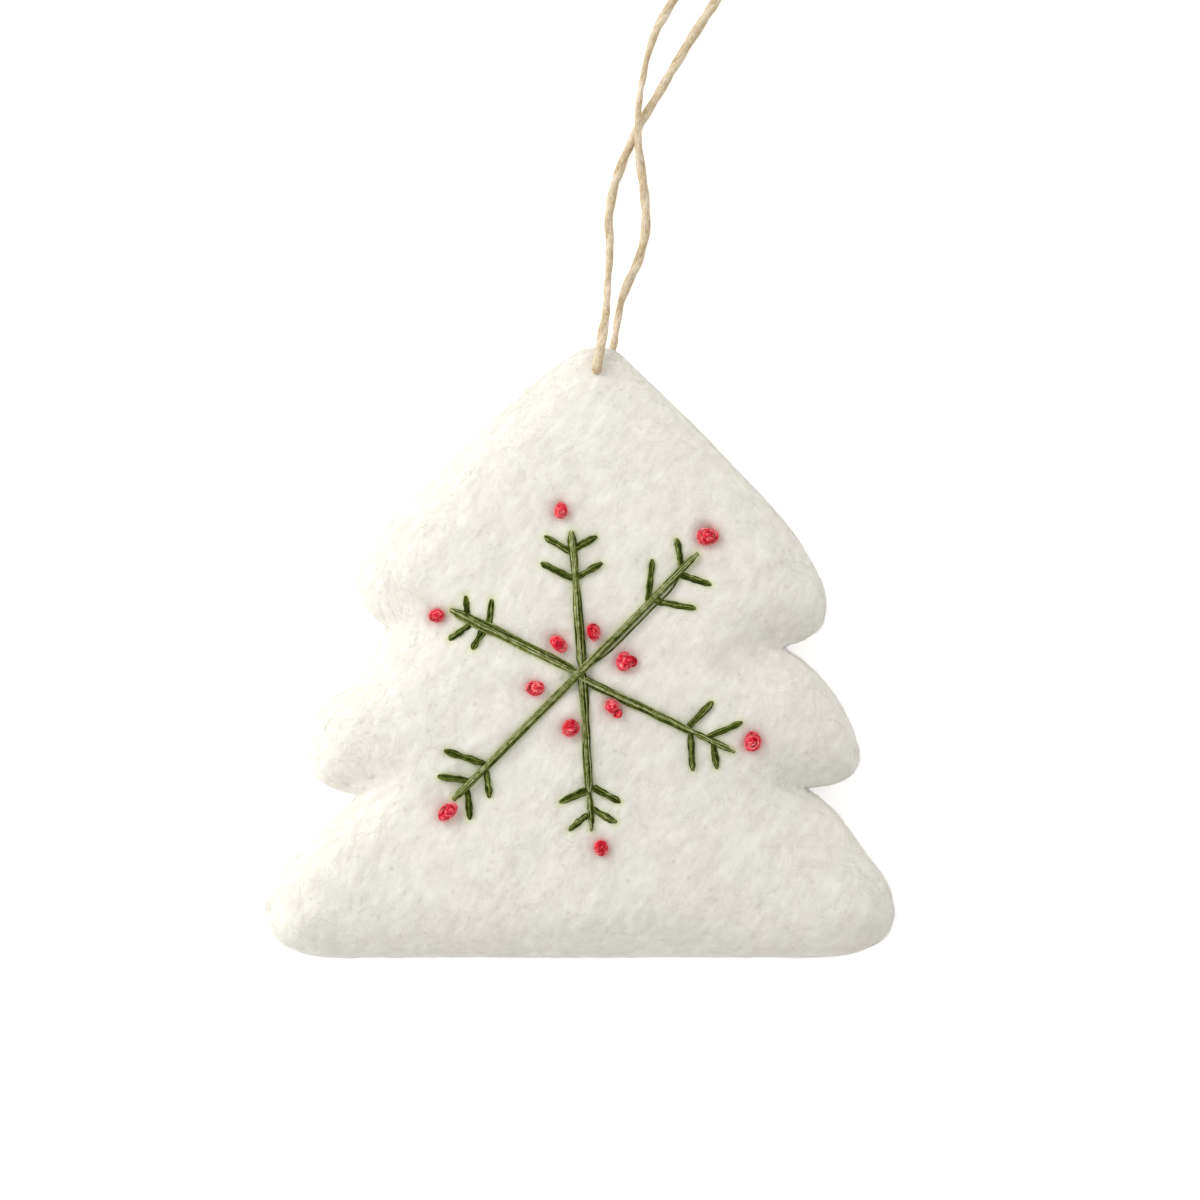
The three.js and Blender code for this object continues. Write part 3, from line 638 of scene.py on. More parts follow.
class Stitch:
    """A stitch's line over the wool: its two needle holes and the height of its seat between them."""

    def __init__(self, name, radius):
        self.name = name
        self.radius = radius
        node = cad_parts[name]
        points = node_points(name)
        tree = tree_of(points, [p.vertices for p in node.data.polygons])
        axis = plan_axis(points)
        middle = sum(points, Vector()) / len(points)
        reach = [(p - middle).dot(axis) for p in points]
        beside = axis.cross(UP)
        drift = [(p - middle).dot(beside) for p in points if p.z > max(q.z for q in points) - 2 * radius]
        middle += beside * (max(drift) + min(drift)) / 2
        low = min(reach) + radius
        high = max(reach) - radius
        self.spots = []
        for i in range(LINE_STEPS + 1):
            share = i / LINE_STEPS
            spot = middle + axis * (low + (high - low) * share)
            hit = tree.ray_cast(Vector((spot.x, spot.y, 1)), -UP)[0]
            top = hit.z if hit else self.spots[-1].z + radius
            self.spots.append(Vector((spot.x, spot.y, top - radius)))
        self.level_ends(LEVEL_STEPS)
        run = self.spots[-1] - self.spots[0]
        self.ahead = Vector((run.x, run.y, 0)).normalized()
        self.length = plan_distance(self.spots[-1], self.spots[0])
        self.mid = self.at(0.5)
        self.span = (self.spots[0] - self.spots[-1]).length / 2 + NEAR_STITCH

    def level_ends(self, inner):
        """The solid's top bends down at its ends, and the line's own bend is made later."""
        for i in range(inner):
            for at, to, after in ((i, inner, inner + 1), (-1 - i, -1 - inner, -2 - inner)):
                slope = self.spots[to].z - self.spots[after].z
                self.spots[at].z = self.spots[to].z + slope * (inner - i) * LEVEL_SLOPE

    def is_near(self, point):
        """Whether a point may lie within the stitch's reach, seen from above."""
        return abs(point.x - self.mid.x) <= self.span and abs(point.y - self.mid.y) <= self.span

    def flat_distance(self, point):
        """How far a point is from the line, seen from above, and the line's height there."""
        a, b = self.spots[0], self.spots[-1]
        run = Vector((b.x - a.x, b.y - a.y))
        share = (Vector((point.x - a.x, point.y - a.y)).dot(run)) / run.length_squared
        held = min(1, max(0, share))
        spot = self.at(held)
        return plan_distance(point, spot), spot.z

    def at(self, share):
        place = share * LINE_STEPS
        i = min(LINE_STEPS - 1, int(place))
        return self.spots[i].lerp(self.spots[i + 1], place - i)


arms = [Stitch(name, SIDE_RADIUS if name.endswith("tip") else ARM_RADIUS) for name in ARM_NAMES]
sides = [Stitch(name, SIDE_RADIUS) for name in SIDE_NAMES]
stitches = arms + sides

# The diagonal stitch rises a little where it passes over the other arms
diagonal = arms[0]
flake_middle = diagonal.at(0.5)
CROSSING_RISE = 0.3 * MM
CROSSING_REACH = 2.6 * MM
for spot in diagonal.spots:
    spot.z += CROSSING_RISE * math.exp(-(plan_distance(spot, flake_middle) / CROSSING_REACH) ** 2)

# Where each strand of floss lies in a bundle, in shares of its radius: across and up
ARM_STRANDS = [(-0.82, -0.18), (-0.29, -0.24), (0.28, -0.22), (0.82, -0.16), (-0.54, 0.2), (-0.17, 0.3),
               (0.2, 0.3), (0.56, 0.18)]
SIDE_STRANDS = [(-0.84, -0.16), (-0.3, -0.2), (0.3, -0.18), (0.84, -0.14), (-0.52, 0.24), (0.0, 0.34),
                (0.52, 0.26)]
FLOSS_STRAND_SHARE = 0.27
# Lower strands of a bundle are coloured darker and upper ones lighter: painted shade between the strands.
PAINTED_LAYER_SHADE = 0.5
NORTHWEST_SWELL = 0.4
STITCH_ROLL = 0.35
STITCH_TWIST = (0.3, 0.7)
STITCH_BOW = 0.12
BUNDLE_SWELL = 0.45
BUNDLE_SINK = 0.2
BUNDLE_END_WIDTH = 0.45
STRAND_END_THICKNESS = 0.7
STRAND_DRIFT = 0.26
STRAND_LIFT = 0.1
DIVE = 1.6 * MM
BEND_SHARE = 1.1
FLOSS_STEP = 0.25 * MM


def stitch_centreline(stitch, longer_start, longer_end):
    """The line of the floss from below one needle hole to below the other."""
    first = stitch.spots[0]
    start, end = -longer_start, stitch.length + longer_end
    steps = max(8, round((end - start) / FLOSS_STEP))
    bend = stitch.radius * BEND_SHARE
    line = []
    for i in range(steps + 1):
        along = start + (end - start) * i / steps
        spot = stitch.at(min(1, max(0, along / stitch.length)))
        spot = Vector((first.x, first.y, spot.z)) + stitch.ahead * along
        near = max(0.0, min(along - start, end - along))
        if near < bend:
            spot.z -= bend - math.sqrt(bend ** 2 - (bend - near) ** 2)
        line.append((spot, near))
    down = UP * -DIVE
    return [(line[0][0] + down, 0.0), *line, (line[-1][0] + down, 0.0)]


def floss_strands(stitch, places, taper, longer_start=0.0, longer_end=0.0):
    """The strands of a stitch. Towards its needle holes they draw together over the taper's length."""
    centre = stitch_centreline(stitch, longer_start, longer_end)
    beside = UP.cross(stitch.ahead)
    start_roll = random.uniform(-STITCH_ROLL, STITCH_ROLL)
    end_roll = start_roll + random.choice((-1, 1)) * random.uniform(*STITCH_TWIST)
    bow = random.uniform(-STITCH_BOW, STITCH_BOW) * MM
    stitch_seed = random.uniform(0, 100)
    radius = stitch.radius
    made = []
    for across, up in places:
        seed = random.uniform(0, 100)
        strand = []
        for i, (point, near) in enumerate(centre):
            share = i / (len(centre) - 1)
            roll = start_roll + (end_roll - start_roll) * share
            sway = across * math.cos(roll) - up * math.sin(roll)
            rise = across * math.sin(roll) * 0.6 + up * math.cos(roll)
            swell = 1 + BUNDLE_SWELL * noise.noise(Vector((share * 4, stitch_seed, 9)))
            if stitch.name == "green_northwest_arm":
                swell += NORTHWEST_SWELL * math.sin(math.pi * share)
            opened = smooth_step(0, taper, near)
            width = (BUNDLE_END_WIDTH + (1 - BUNDLE_END_WIDTH) * opened) * swell
            drift = STRAND_DRIFT * noise.noise(Vector((share * 6, seed, 0)))
            lift = STRAND_LIFT * noise.noise(Vector((share * 6, seed, 5)))
            spot = point + beside * (radius * width * (sway + drift) + bow * math.sin(math.pi * share))
            spot += UP * radius * (rise + lift - BUNDLE_SINK)
            thin = STRAND_END_THICKNESS + (1 - STRAND_END_THICKNESS) * opened
            strand.append((spot, radius * FLOSS_STRAND_SHARE * thin))
        made.append(strand)
    return made


def nearest_arm_distance(point):
    return min(arm.flat_distance(point)[0] for arm in arms)


# How much further than its needle hole's middle each end of a stitch shows
TIP_SHOWS = 0.35 * MM
ARM_JOIN_SHOWS = 0.8 * MM
LONGEST_REACH = 3 * MM
REACH_STEP = 0.1 * MM
UNDER_SHARE = 0.3
ARM_TAPER = 1.6 * MM
SIDE_TAPER = 1.0 * MM
ARM_SHADES = (-0.2, 0.8)
ARM_SHADE_SHIFTS = {
    "green_south_arm": -0.24,
    "green_south_arm_tip": -0.24,
    "green_northwest_arm": 0.16,
}
# Side stitches take darker tones than the arms of the same floss: painted shade.
SIDE_SHADES = (-0.3, 0.6)
GLINT_SHADES = (0.9, 1.2)
GLINT_RADIUS = 0.045 * MM
GLINT_SPREAD = 0.7
GLINT_HEIGHT = 0.72
ARM_GLINTS = 3
FLOSS_STRAY_EACH = 0.5 * MM
FLOSS_FIBRE = 0.02 * MM
FLOSS_CORNERS = 8


def reach_under(others, stitch, starts_inside):
    """How far a stitch's inner end runs on to end under the nearest of the others."""
    inner, outer = (0, -1) if starts_inside else (-1, 0)
    end = stitch.spots[inner]
    inward = (end - stitch.spots[outer]).normalized()
    reach = 0.0
    while reach < LONGEST_REACH:
        spot = end + inward * reach
        if min(other.flat_distance(spot)[0] for other in others) < UNDER_SHARE * stitch.radius:
            break
        reach += REACH_STEP
    return reach


def add_floss(stitch, places, taper, shows_start, shows_end, shades, glints):
    strands = floss_strands(stitch, places, taper, shows_start, shows_end)
    # Each strand's tone rises with its height in the bundle: painted shade on the lower strands.
    tones = [tone + PAINTED_LAYER_SHADE * up for tone, (_, up) in zip(spread_shades(len(places), *shades), places)]
    if glints:
        high = [(random.uniform(-GLINT_SPREAD, GLINT_SPREAD), GLINT_HEIGHT) for _ in range(glints)]
        shiny = floss_strands(stitch, high, taper, shows_start, shows_end)
        strands += [[(point, min(radius, GLINT_RADIUS)) for point, radius in strand] for strand in shiny]
        tones += spread_shades(glints, *GLINT_SHADES)
    line = [point for point, _ in stitch_centreline(stitch, shows_start, shows_end)][2:-2]
    loose = round(path_length(line) / FLOSS_STRAY_EACH)
    fuzz = stray_fibres(line, loose, 0.7 * stitch.radius, 0.5 * MM, 1.6 * MM, FLOSS_FIBRE, 1)
    mesh = thread_mesh(stitch.name + "_floss", strands, tones, fuzz, spread_shades(loose, *shades),
                       FLOSS_CORNERS)
    add_piece(stitch.name + "_floss", mesh, green_floss, "green_floss", stitch.name)


random.seed(23)
for stitch in arms:
    starts_inside = (stitch.spots[0] - flake_middle).length < (stitch.spots[-1] - flake_middle).length
    inner, outer = TIP_SHOWS, TIP_SHOWS
    if stitch.name.endswith("tip"):
        inner = ARM_JOIN_SHOWS
    elif stitch is not diagonal:
        inner = reach_under([diagonal], stitch, starts_inside)
    if stitch.name in ("green_south_arm", "green_southeast_arm"):
        outer = ARM_JOIN_SHOWS
    shows = (inner, outer) if starts_inside else (outer, inner)
    shift = ARM_SHADE_SHIFTS.get(stitch.name, 0.0)
    shades = [shade + shift for shade in ARM_SHADES]
    add_floss(stitch, ARM_STRANDS, ARM_TAPER, *shows, shades, ARM_GLINTS)
for stitch in sides:
    starts_inside = nearest_arm_distance(stitch.spots[0]) < nearest_arm_distance(stitch.spots[-1])
    root = reach_under(arms, stitch, starts_inside)
    shows = (root, TIP_SHOWS) if starts_inside else (TIP_SHOWS, root)
    add_floss(stitch, SIDE_STRANDS, SIDE_TAPER, *shows, SIDE_SHADES, 0)

# One strand of the diagonal stitch stands apart from the rest along the lower side of the north-east arm.
# It leaves the bundle and comes back to it at these shares of the stitch's length.
PARTED_FROM = 0.53
PARTED_TO = 0.95
PARTED_OUT = 1.09 * MM
PARTED_UP = 0.16 * MM
PARTED_HIDDEN_OUT = 0.3 * MM
PARTED_SHADE = 0.1
PARTED_STEPS = 80
PARTED_WAVER = 0.07 * MM


def add_parted_strand():
    ahead = diagonal.spots[-1] - diagonal.spots[0]
    lower_side = Vector((ahead.y, -ahead.x, 0)).normalized()
    strand = []
    for i in range(PARTED_STEPS + 1):
        share = i / PARTED_STEPS
        apart = smooth_step(0, 0.25, share) - smooth_step(0.8, 1, share)
        out = PARTED_HIDDEN_OUT + (PARTED_OUT - PARTED_HIDDEN_OUT) * apart
        out += PARTED_WAVER * noise.noise(Vector((share * 7, 3, 1)))
        spot = diagonal.at(PARTED_FROM + (PARTED_TO - PARTED_FROM) * share)
        spot += lower_side * out + UP * (PARTED_UP + PARTED_HIDDEN_OUT) * apart - UP * PARTED_HIDDEN_OUT
        strand.append((spot, ARM_RADIUS * FLOSS_STRAND_SHARE))
    mesh = strand_mesh("green_parted_strand", [strand], FLOSS_CORNERS, [PARTED_SHADE])
    add_piece("green_parted_strand", mesh, green_floss, "green_floss")


add_parted_strand()


# French knots: floss wound twice round and drawn down through the middle

KNOT_THREAD = 0.42 * MM
KNOT_WINDS = 2.3
KNOT_STRAND = 0.15 * MM
KNOT_STRAND_OUT = 0.27 * MM
KNOT_STRANDS = 6
KNOT_LAY = 7 * MM
KNOT_WOBBLE = 1.4
KNOT_CORE_SHARE = 0.62
KNOT_CORE_DEEP = 0.55 * MM
KNOT_FUZZ = 360
KNOT_FIBRE = 0.03 * MM
KNOT_FUZZ_SHADES = (1.2, 3.0)
KNOT_SLIP = 0.25
LOOP_WINDS = 1.2
STEPS_IN_WIND = 28

# A knot's thread, as heights from the solid's top and shares of the knot's half width
RIM_HEIGHT = -1.45 * MM
RIM_OUT = 1.03
INNER_UP = 0.5 * MM
INNER_IN = 0.46
OVER_UP = 0.4 * MM
START_DOWN = 1.2 * MM
END_DOWN = 0.7 * MM
WIND_WAVER = 0.35 * MM
WIND_BULGE = 0.3

# Each knot as the hand left it: its longer and its shorter width in millimetres, and the turn of the
# longer one in degrees from +X. The last two have a second, smaller loop of floss beside them.
KNOT_SHAPES = {
    "red_knot_north_tip": (2.6, 2.1, 85),
    "red_knot_northeast_tip": (3.3, 2.9, 0),
    "red_knot_southeast_tip": (3.2, 2.7, 80),
    "red_knot_south_tip": (2.6, 2.1, 100),
    "red_knot_southwest_tip": (3.7, 2.3, 45),
    "red_knot_northwest_tip": (2.5, 2.1, 10),
    "red_knot_north_northeast": (2.9, 2.1, 105),
    "red_knot_north_northwest": (3.0, 2.2, -38),
    "red_knot_west": (2.8, 2.4, 0),
    "red_knot_south_southwest": (2.75, 2.65, 0),
    "red_knot_east": (3.3, 2.4, 95),
    "red_knot_south_southeast": (2.4, 2.3, 0),
}
KNOT_LOOPS = {
    "red_knot_east": (1.1, 0.1, 2.0),
    "red_knot_south_southeast": (0.9, -1.1, 1.7),
}


class FrenchKnot:
    """A French knot's place and top, its two half widths and the way that its longer one points."""

    def __init__(self, name):
        self.name = name
        long, wide, turn = KNOT_SHAPES[name]
        low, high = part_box(name)
        self.middle = Vector(((low.x + high.x) / 2, (low.y + high.y) / 2, high.z))
        self.axis = plan_heading(math.radians(turn))
        self.beside = UP.cross(self.axis)
        self.half_long = long * MM / 2
        self.half_wide = wide * MM / 2
        self.half = (self.half_long + self.half_wide) / 2


knots = [FrenchKnot(name) for name in KNOT_SHAPES]


def wound_line(middle, axis, beside, half_long, half_wide, winds):
    """The thread's line: up out of the wool, round the rim, round again inside, over the top and down."""
    start = random.uniform(0, TURN)
    seed = random.uniform(0, 100)
    slip_x, slip_y = [random.uniform(-KNOT_SLIP, KNOT_SLIP) for _ in range(2)]
    slip = Vector((slip_x, slip_y, 0)) * half_wide
    steps = round(STEPS_IN_WIND * winds)
    line = []
    for i in range(steps + 1):
        share = i / steps
        turn = start + TURN * winds * share
        inner = smooth_step(0.4, 0.55, share)
        out = RIM_OUT - INNER_IN * inner - smooth_step(0.8, 0.95, share)
        out *= 1 + WIND_BULGE * noise.noise(Vector((share * 9, seed, 0)))
        height = RIM_HEIGHT + INNER_UP * smooth_step(0.3, 0.55, share)
        height += OVER_UP * smooth_step(0.76, 0.88, share)
        height += WIND_WAVER * noise.noise(Vector((share * 8, seed, 4)))
        height -= END_DOWN * smooth_step(0.96, 1, share)
        height -= START_DOWN * (1 - smooth_step(0, 0.06, share))
        long = (half_long - KNOT_THREAD) * out * math.cos(turn)
        wide = (half_wide - KNOT_THREAD) * out * math.sin(turn)
        line.append(middle + slip * inner + axis * long + beside * wide + UP * height)
    return line


def knot_strands(knot):
    """The knot's strands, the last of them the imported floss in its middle, and its thread's outer wind."""
    lines = [wound_line(knot.middle, knot.axis, knot.beside, knot.half_long, knot.half_wide, KNOT_WINDS)]
    if knot.name in KNOT_LOOPS:
        x, y, width = KNOT_LOOPS[knot.name]
        beside_it = knot.middle + Vector((x, y, -0.3)) * MM
        half = width * MM / 2
        lines.append(wound_line(beside_it, knot.axis, knot.beside, half, half, LOOP_WINDS))
    strands = []
    for line in lines:
        strands += laid_plies(line, KNOT_STRANDS, KNOT_STRAND, KNOT_STRAND_OUT, KNOT_LAY, None,
                              random.uniform(0, TURN), KNOT_WOBBLE)
    core_radius = KNOT_CORE_SHARE * knot.half_wide
    reach = knot.axis * (knot.half_long - knot.half_wide + 0.2 * MM)
    core_middle = knot.middle - UP * (KNOT_CORE_DEEP + core_radius)
    strands.append([(core_middle + reach * share, core_radius) for share in (-1, 0, 1)])
    return strands, lines[0][:len(lines[0]) // 2]


random.seed(37)
for knot in knots:
    strands, rim = knot_strands(knot)
    fuzz = stray_fibres(rim, KNOT_FUZZ, 0.8 * KNOT_THREAD, 0.4 * MM, 0.6 * MM, KNOT_FIBRE, 6)
    mesh = thread_mesh(knot.name + "_floss", strands, spread_shades(len(strands)), fuzz,
                       spread_shades(KNOT_FUZZ, *KNOT_FUZZ_SHADES), FLOSS_CORNERS)
    add_piece(knot.name + "_floss", mesh, red_floss, "red_floss", knot.name)


# Wool body: the solid's form with its seats closed, felted lumps, furrows and dimples pressed into it

VOXEL = 0.94 * MM
FLAT_FACING = 0.6
EDGE_FACING = 0.75
SMOOTH_PASSES = 2
FACE_SMOOTH_PASSES = 5
EDGE_SMOOTH_PASSES = 14
EDGE_SHRINK = 0.25 * MM
NOTCHES = [(32.6, 0.7), (35.8, -21.8), (-34.9, -22.9), (-30.4, 3.8)]
NOTCH_SHARP = 3.5 * MM
NOTCH_REACH = 6 * MM
NOTCH_PROBE = 0.3 * MM
NOTCH_DEPTH = 5 * MM


def notch_distance(point):
    """How far a point is from the nearest of the four notches, seen from above."""
    return min(math.hypot(point.x - x * MM, point.y - y * MM) for x, y in NOTCHES)


def sharpen_notches(form, solid):
    """Smoothing rounds the four notches, so the wool round them goes back onto the solid's surface."""
    form.normal_update()
    moved = []
    for vert in form.verts:
        share = 1 - smooth_step(NOTCH_SHARP, NOTCH_REACH, notch_distance(vert.co))
        if share > 0:
            inward = -vert.normal
            spot = solid.ray_cast(vert.co - inward * NOTCH_PROBE, inward, NOTCH_DEPTH)[0]
            if spot is None:
                spot = solid.find_nearest(vert.co)[0]
            moved.append((vert, vert.co.lerp(spot, share)))
    for vert, spot in moved:
        vert.co = spot


def felt_form():
    """The body's solid, remeshed into even small faces and smoothed, as one closed shell."""
    mesh_of_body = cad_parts["felt_body"].data
    mesh = mesh_of_body.copy()
    merged = bmesh.new()
    merged.from_mesh(mesh)
    bmesh.ops.remove_doubles(merged, verts=merged.verts, dist=MM / 1000)
    merged.to_mesh(mesh)
    merged.free()
    holder = new_object("felt_form", mesh)
    remesh = holder.modifiers.new("remesh", "REMESH")
    remesh.mode = "VOXEL"
    remesh.voxel_size = VOXEL
    even = evaluated_mesh(holder)
    bpy.data.objects.remove(holder)
    form = bmesh.new()
    form.from_mesh(even)
    keep_largest_shell(form)
    form.normal_update()
    flat = [vert for vert in form.verts if abs(vert.normal.z) > FLAT_FACING]
    edge = [vert for vert in form.verts
            if abs(vert.normal.z) < EDGE_FACING and notch_distance(vert.co) > NOTCH_REACH]
    smoothed = ((form.verts, SMOOTH_PASSES), (flat, FACE_SMOOTH_PASSES), (edge, EDGE_SMOOTH_PASSES))
    for verts, passes in smoothed:
        for _ in range(passes):
            bmesh.ops.smooth_vert(form, verts=verts, factor=0.5, use_axis_x=True, use_axis_y=True,
                                  use_axis_z=True)
    form.normal_update()
    for vert in edge:
        outward = Vector((vert.normal.x, vert.normal.y, 0))
        vert.co += outward * EDGE_SHRINK
    bmesh.ops.subdivide_edges(form, edges=form.edges, cuts=1, use_grid_fill=True, smooth=1.0)
    sharpen_notches(form, tree_of(node_points("felt_body"), [p.vertices for p in mesh_of_body.polygons]))
    return form


def keep_largest_shell(form):
    """Drops the small closed shells that buried hollows leave."""
    unseen = set(form.verts)
    shells = []
    while unseen:
        seed = unseen.pop()
        shell = {seed}
        edge_of_shell = [seed]
        while edge_of_shell:
            vert = edge_of_shell.pop()
            for edge in vert.link_edges:
                other = edge.other_vert(vert)
                if other in unseen:
                    unseen.discard(other)
                    shell.add(other)
                    edge_of_shell.append(other)
        shells.append(shell)
    largest = max(shells, key=len)
    lost = [vert for vert in form.verts if vert not in largest]
    bmesh.ops.delete(form, geom=lost, context="VERTS")


LUMP_WARP = 2.5
LUMP_WARP_SIZE = 11 * MM
LUMP_HEIGHTS = (0.15, 0.08, 0.05)


def felted_rise(point):
    """How far felted wool stands proud at a point: broad and middle lumps along the lay, and small ones."""
    warp = noise.noise_vector(point / LUMP_WARP_SIZE) * LUMP_WARP
    place = point / MM + warp
    lay = Vector((place.x * 0.77 + place.y * 0.64, place.y * 0.77 - place.x * 0.64, place.z))
    broad = noise.noise(Vector((lay.x / 9, lay.y / 5, lay.z / 5)))
    middle = noise.noise(Vector((lay.x / 3.6, lay.y / 2.2, lay.z / 2.4 + 7)))
    small = noise.noise(place / 1.2 + Vector((31, 0, 0)))
    lumps = zip(LUMP_HEIGHTS, (broad, middle, small))
    return sum(height * lump for height, lump in lumps) * MM


# A furrow's depth and half width in shares of the stitch's radius, a dimple's half width in shares of
# the knot's half width, and the slopes of their sides
FURROW = 0.15
FURROW_WIDE = 1.1
FURROW_SLOPE = 0.55
DIMPLE = 1.2 * MM
DIMPLE_WIDE = 0.8
DIMPLE_SLOPE = 0.45
FRONT_FACING = 0.3


def pressed_down(point, normal):
    """How far a stitch or a knot pulls the wool's surface down at a point."""
    press = 0.0
    if normal.z < FRONT_FACING:
        return press
    for stitch in stitches:
        if stitch.is_near(point):
            away, height = stitch.flat_distance(point)
            beyond = max(0.0, away - FURROW_WIDE * stitch.radius)
            press = max(press, point.z - (height - FURROW * stitch.radius + FURROW_SLOPE * beyond))
    for knot in knots:
        away = plan_distance(point, knot.middle)
        if away < 3 * knot.half:
            beyond = max(0.0, away - DIMPLE_WIDE * knot.half)
            press = max(press, point.z - (knot.middle.z - DIMPLE + DIMPLE_SLOPE * beyond))
    return press


# Tints of the floss on the wool beside it: partly dye, partly painted light bounced off the floss.
GREEN_HALO = Vector((0.92, 0.98, 0.7))
RED_HALO = Vector((1.0, 0.88, 0.87))
GREEN_HALO_FADE = 0.35 * MM
RED_HALO_FADE = 0.7 * MM
RED_HALO_REACH = 4 * MM
WHITE = Vector((1, 1, 1))


def tinted(tint, halo, away, fade):
    """A tint with a halo's colour on it, which fades with the distance from the thread."""
    share = math.exp(-max(0.0, away) / fade)
    return Vector(t * (1 + (h - 1) * share) for t, h in zip(tint, halo))


def halo_at(point):
    """The tint that floss lends the wool beside it: partly dye, partly painted light bounced off it."""
    tint = WHITE.copy()
    for stitch in stitches:
        if stitch.is_near(point):
            away = stitch.flat_distance(point)[0] - stitch.radius
            tint = tinted(tint, GREEN_HALO, away, GREEN_HALO_FADE)
    for knot in knots:
        away = plan_distance(point, knot.middle) - knot.half
        if away < RED_HALO_REACH:
            tint = tinted(tint, RED_HALO, away, RED_HALO_FADE)
    return tint


def add_wool_body():
    form = felt_form()
    form.normal_update()
    moves = []
    for vert in form.verts:
        facing = 0.35 + 0.65 * smooth_step(0.4, 0.95, abs(vert.normal.z))
        flat_back = smooth_step(0.6, 1.0, -vert.normal.z)
        rise = felted_rise(vert.co) * facing * (1 - 0.5 * flat_back)
        moves.append(vert.normal * rise)
    for vert, move in zip(form.verts, moves):
        vert.co += move
        vert.co.z -= pressed_down(vert.co, vert.normal)
        vert.co.z = max(vert.co.z, 0.0)
    bmesh.ops.recalc_face_normals(form, faces=form.faces)
    mesh = mesh_from(form, "felt_body_wool")
    mesh.polygons.foreach_set("use_smooth", [True] * len(mesh.polygons))
    tints = []
    for vert in mesh.vertices:
        tint = halo_at(vert.co) if vert.normal.z > FRONT_FACING else WHITE
        tints += [*tint, 1.0]
    mesh.attributes.new("halo", "FLOAT_COLOR", "POINT").data.foreach_set("color", tints)
    piece = add_piece("felt_body_wool", mesh, wool, "wool_felt", "felt_body")
    return piece


random.seed(41)
noise.seed_set(41)
wool_body = add_wool_body()


# Fibres: wisps of wool that lie in the surface, a few of them with a loose end

WISPS = 7000
FIBRES_IN_WISP = 3
FIBRE_RADIUS = 0.012 * MM
FIBRE_POINTS = 6
FIBRES_IN_PIECE = 5400
WISP_LAY = 0.7
WISP_LAY_BEND = 14 * MM
WISP_STRAY = 0.9
WISP_CURL = 0.28
WISP_STEP = (0.7, 1.2)
WISP_WIDE = 0.7
FIBRE_WAVE = 0.14
FIBRE_HEIGHT = (-0.02, 0.008)
FIBRE_SHIFT = 0.6
FLAT_LIFT = (0, 0.02)
LOOSE_LIFT = (0.2, 0.7)
LOOSE_SHARE = 0.04
LOOSE_SHARE_AT_EDGE = 0.3
CROSSING_THREAD_SHARE = 0.3


def wisp_paths(tree, mesh):
    """Short paths over the wool, each a list of (point, normal)."""
    paths = []
    faces = mesh.polygons
    while len(paths) < WISPS:
        face = faces[random.randrange(len(faces))]
        point, normal = face.center.copy(), face.normal.copy()
        lay = WISP_LAY + 1.4 * noise.noise(point / WISP_LAY_BEND) + random.gauss(0, WISP_STRAY)
        heading = plan_heading(lay)
        heading = (heading - normal * heading.dot(normal)).normalized()
        curl = random.gauss(0, WISP_CURL)
        step = random.uniform(*WISP_STEP) * MM
        path = [(point, normal)]
        for _ in range(FIBRE_POINTS - 1):
            point, normal = tree.find_nearest(point + heading * step)[:2]
            heading = Matrix.Rotation(curl, 3, normal) @ heading
            heading = (heading - normal * heading.dot(normal)).normalized()
            path.append((point, normal))
        paths.append(path)
    return paths


def fibre_in_wisp(path):
    """One fibre beside a wisp's path, as a list of (point, radius). More of them stand off at the edge."""
    side = random.gauss(0, WISP_WIDE) * MM
    wave = random.uniform(0, FIBRE_WAVE) * MM
    phase = random.uniform(0, TURN)
    height = random.uniform(*FIBRE_HEIGHT) * MM
    at_edge = abs(path[0][1].z) < FLAT_FACING
    loose = random.random() < (LOOSE_SHARE_AT_EDGE if at_edge else LOOSE_SHARE)
    lift = random.uniform(*(LOOSE_LIFT if loose else FLAT_LIFT)) * MM
    shift = random.uniform(-FIBRE_SHIFT, FIBRE_SHIFT) * MM
    strand = []
    for i, (point, normal) in enumerate(path):
        after = path[min(i + 1, len(path) - 1)][0]
        before = path[max(i - 1, 0)][0]
        ahead = (after - before).normalized()
        beside = normal.cross(ahead)
        share = i / (len(path) - 1)
        spread = side * (0.6 + 0.8 * share) + wave * math.sin(phase + 5 * share)
        rise = height + lift * share ** 3
        spot = point + ahead * shift + beside * spread + normal * rise
        spot.z = max(spot.z, FIBRE_RADIUS)
        radius = FIBRE_RADIUS * (0.55 + 0.45 * math.sin(math.pi * (0.1 + 0.8 * share)))
        strand.append((spot, radius))
    return strand


def clear_of_thread(strand):
    """Whether a fibre keeps off the floss, but for the few that real hands leave lying over it."""
    if random.random() < CROSSING_THREAD_SHARE:
        return True
    for point, _ in strand[::2]:
        if point.z < 10 * MM:
            continue
        for stitch in stitches:
            if stitch.is_near(point) and stitch.flat_distance(point)[0] < stitch.radius * FURROW_WIDE:
                return False
        for knot in knots:
            if plan_distance(point, knot.middle) < knot.half:
                return False
    return True


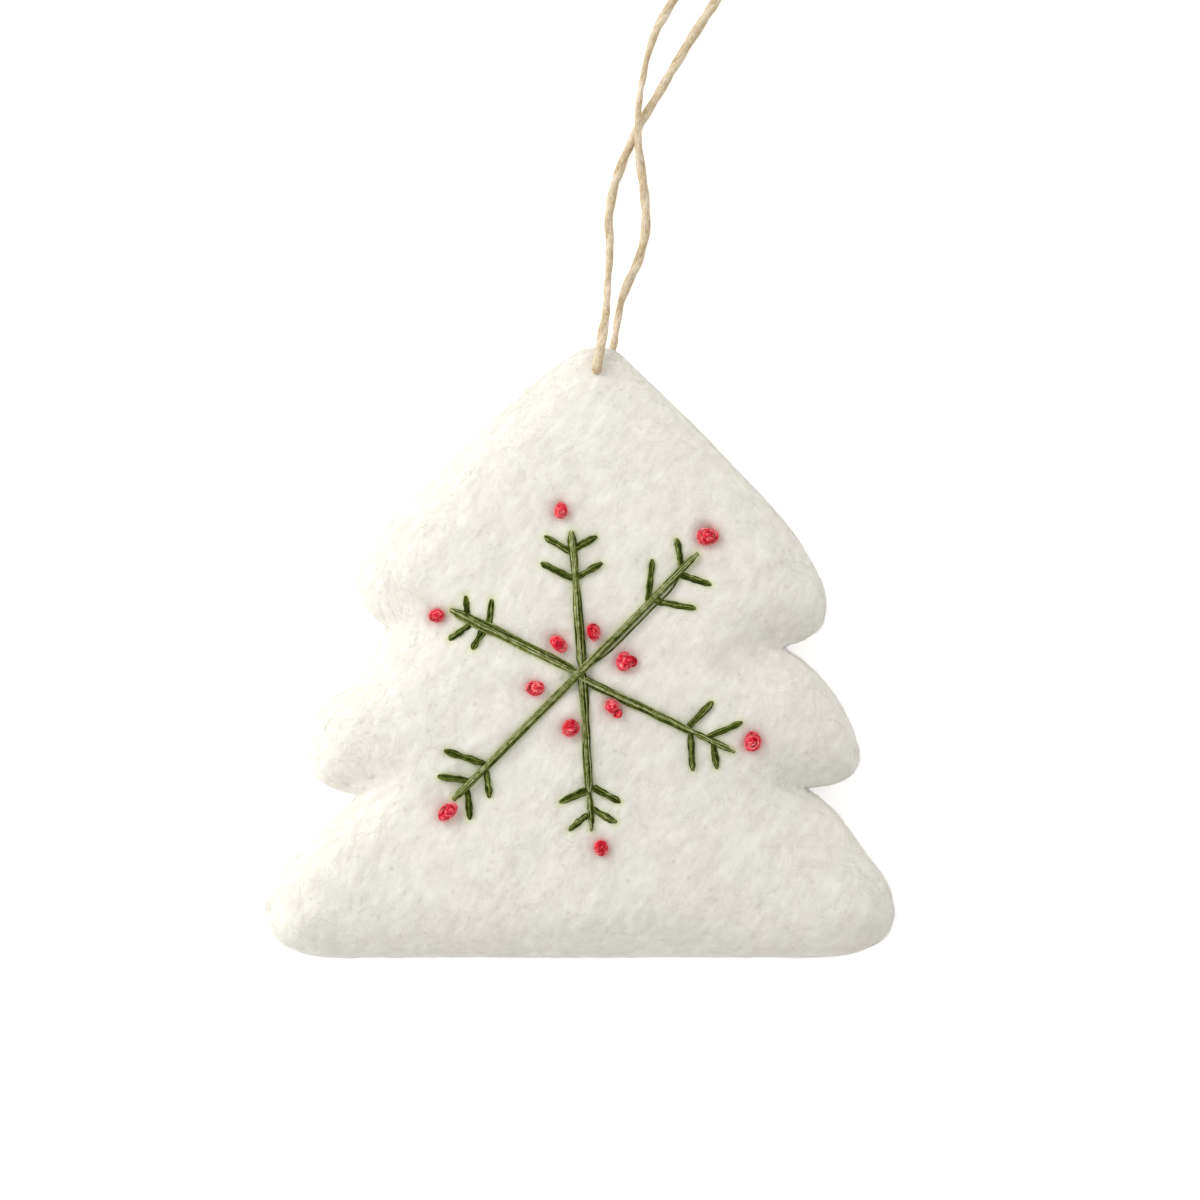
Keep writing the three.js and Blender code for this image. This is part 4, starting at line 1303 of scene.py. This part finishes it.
def add_fibres(body):
    mesh = body.data
    tree = tree_of([v.co for v in mesh.vertices], [p.vertices for p in mesh.polygons])
    strands = []
    for path in wisp_paths(tree, mesh):
        for _ in range(FIBRES_IN_WISP):
            strand = fibre_in_wisp(path)
            if clear_of_thread(strand):
                strands.append(strand)
    for number, start in enumerate(range(0, len(strands), FIBRES_IN_PIECE), 1):
        name = f"felt_body_fibres_{number}"
        add_piece(name, strand_mesh(name, strands[start:start + FIBRES_IN_PIECE], 3), fibres, "wool_felt")


random.seed(53)
add_fibres(wool_body)


# Floor, light and background

FLOOR_HALF = 3.0
FLOOR_BELOW = 0.1 * MM
WORLD_LIGHT = 0.7
LAMP_SIZE = 0.4


def add_floor():
    """A plain pale floor, white to the camera where nothing shades it."""
    made = bmesh.new()
    bmesh.ops.create_grid(made, x_segments=1, y_segments=1, size=FLOOR_HALF)
    bmesh.ops.translate(made, verts=made.verts, vec=(0, 0, -FLOOR_BELOW))
    mesh = mesh_from(made, "floor")
    floor = new_object("floor", mesh)
    material, tree, shader = blank_material("pale_floor")
    rays = add_node(tree, "ShaderNodeLightPath")
    fill_inputs(tree, shader, {
        "Base Color": linear("#f4f3f1"), "Roughness": 1.0, "Emission Color": (0.5, 0.5, 0.5, 1),
        "Emission Strength": rays.outputs["Is Camera Ray"]})
    mesh.materials.append(material)


def add_world():
    """Even white light from all round, and plain white behind everything."""
    world = bpy.data.worlds.new("soft_white")
    world.use_nodes = True
    tree = world.node_tree
    rays = add_node(tree, "ShaderNodeLightPath")
    strength = map_range(tree, rays.outputs["Is Camera Ray"], 0.0, 1.0, WORLD_LIGHT)
    fill_inputs(tree, tree.nodes["Background"], {"Color": (1, 1, 1, 1), "Strength": strength})
    scene.world = world


def add_lamp(name, place, power):
    """A soft square lamp that points at the ornament."""
    lamp = bpy.data.lights.new(name, "AREA")
    lamp.shape = "SQUARE"
    lamp.size = LAMP_SIZE
    lamp.energy = power
    holder = new_object(name, lamp)
    holder.location = place
    holder.rotation_mode = "QUATERNION"
    holder.rotation_quaternion = (-place).to_track_quat("-Z", "Y")


add_floor()
add_world()
# The photograph is lit from the upper left, with its left edges almost white
add_lamp("key", Vector((-0.4, 0.36, 0.36)), 1.72)
add_lamp("low_left", Vector((-0.5, -0.04, 0.07)), 1.4)
add_lamp("low_right", Vector((0.4, 0.33, 0.16)), 0.45)
scene.view_settings.view_transform = "Standard"
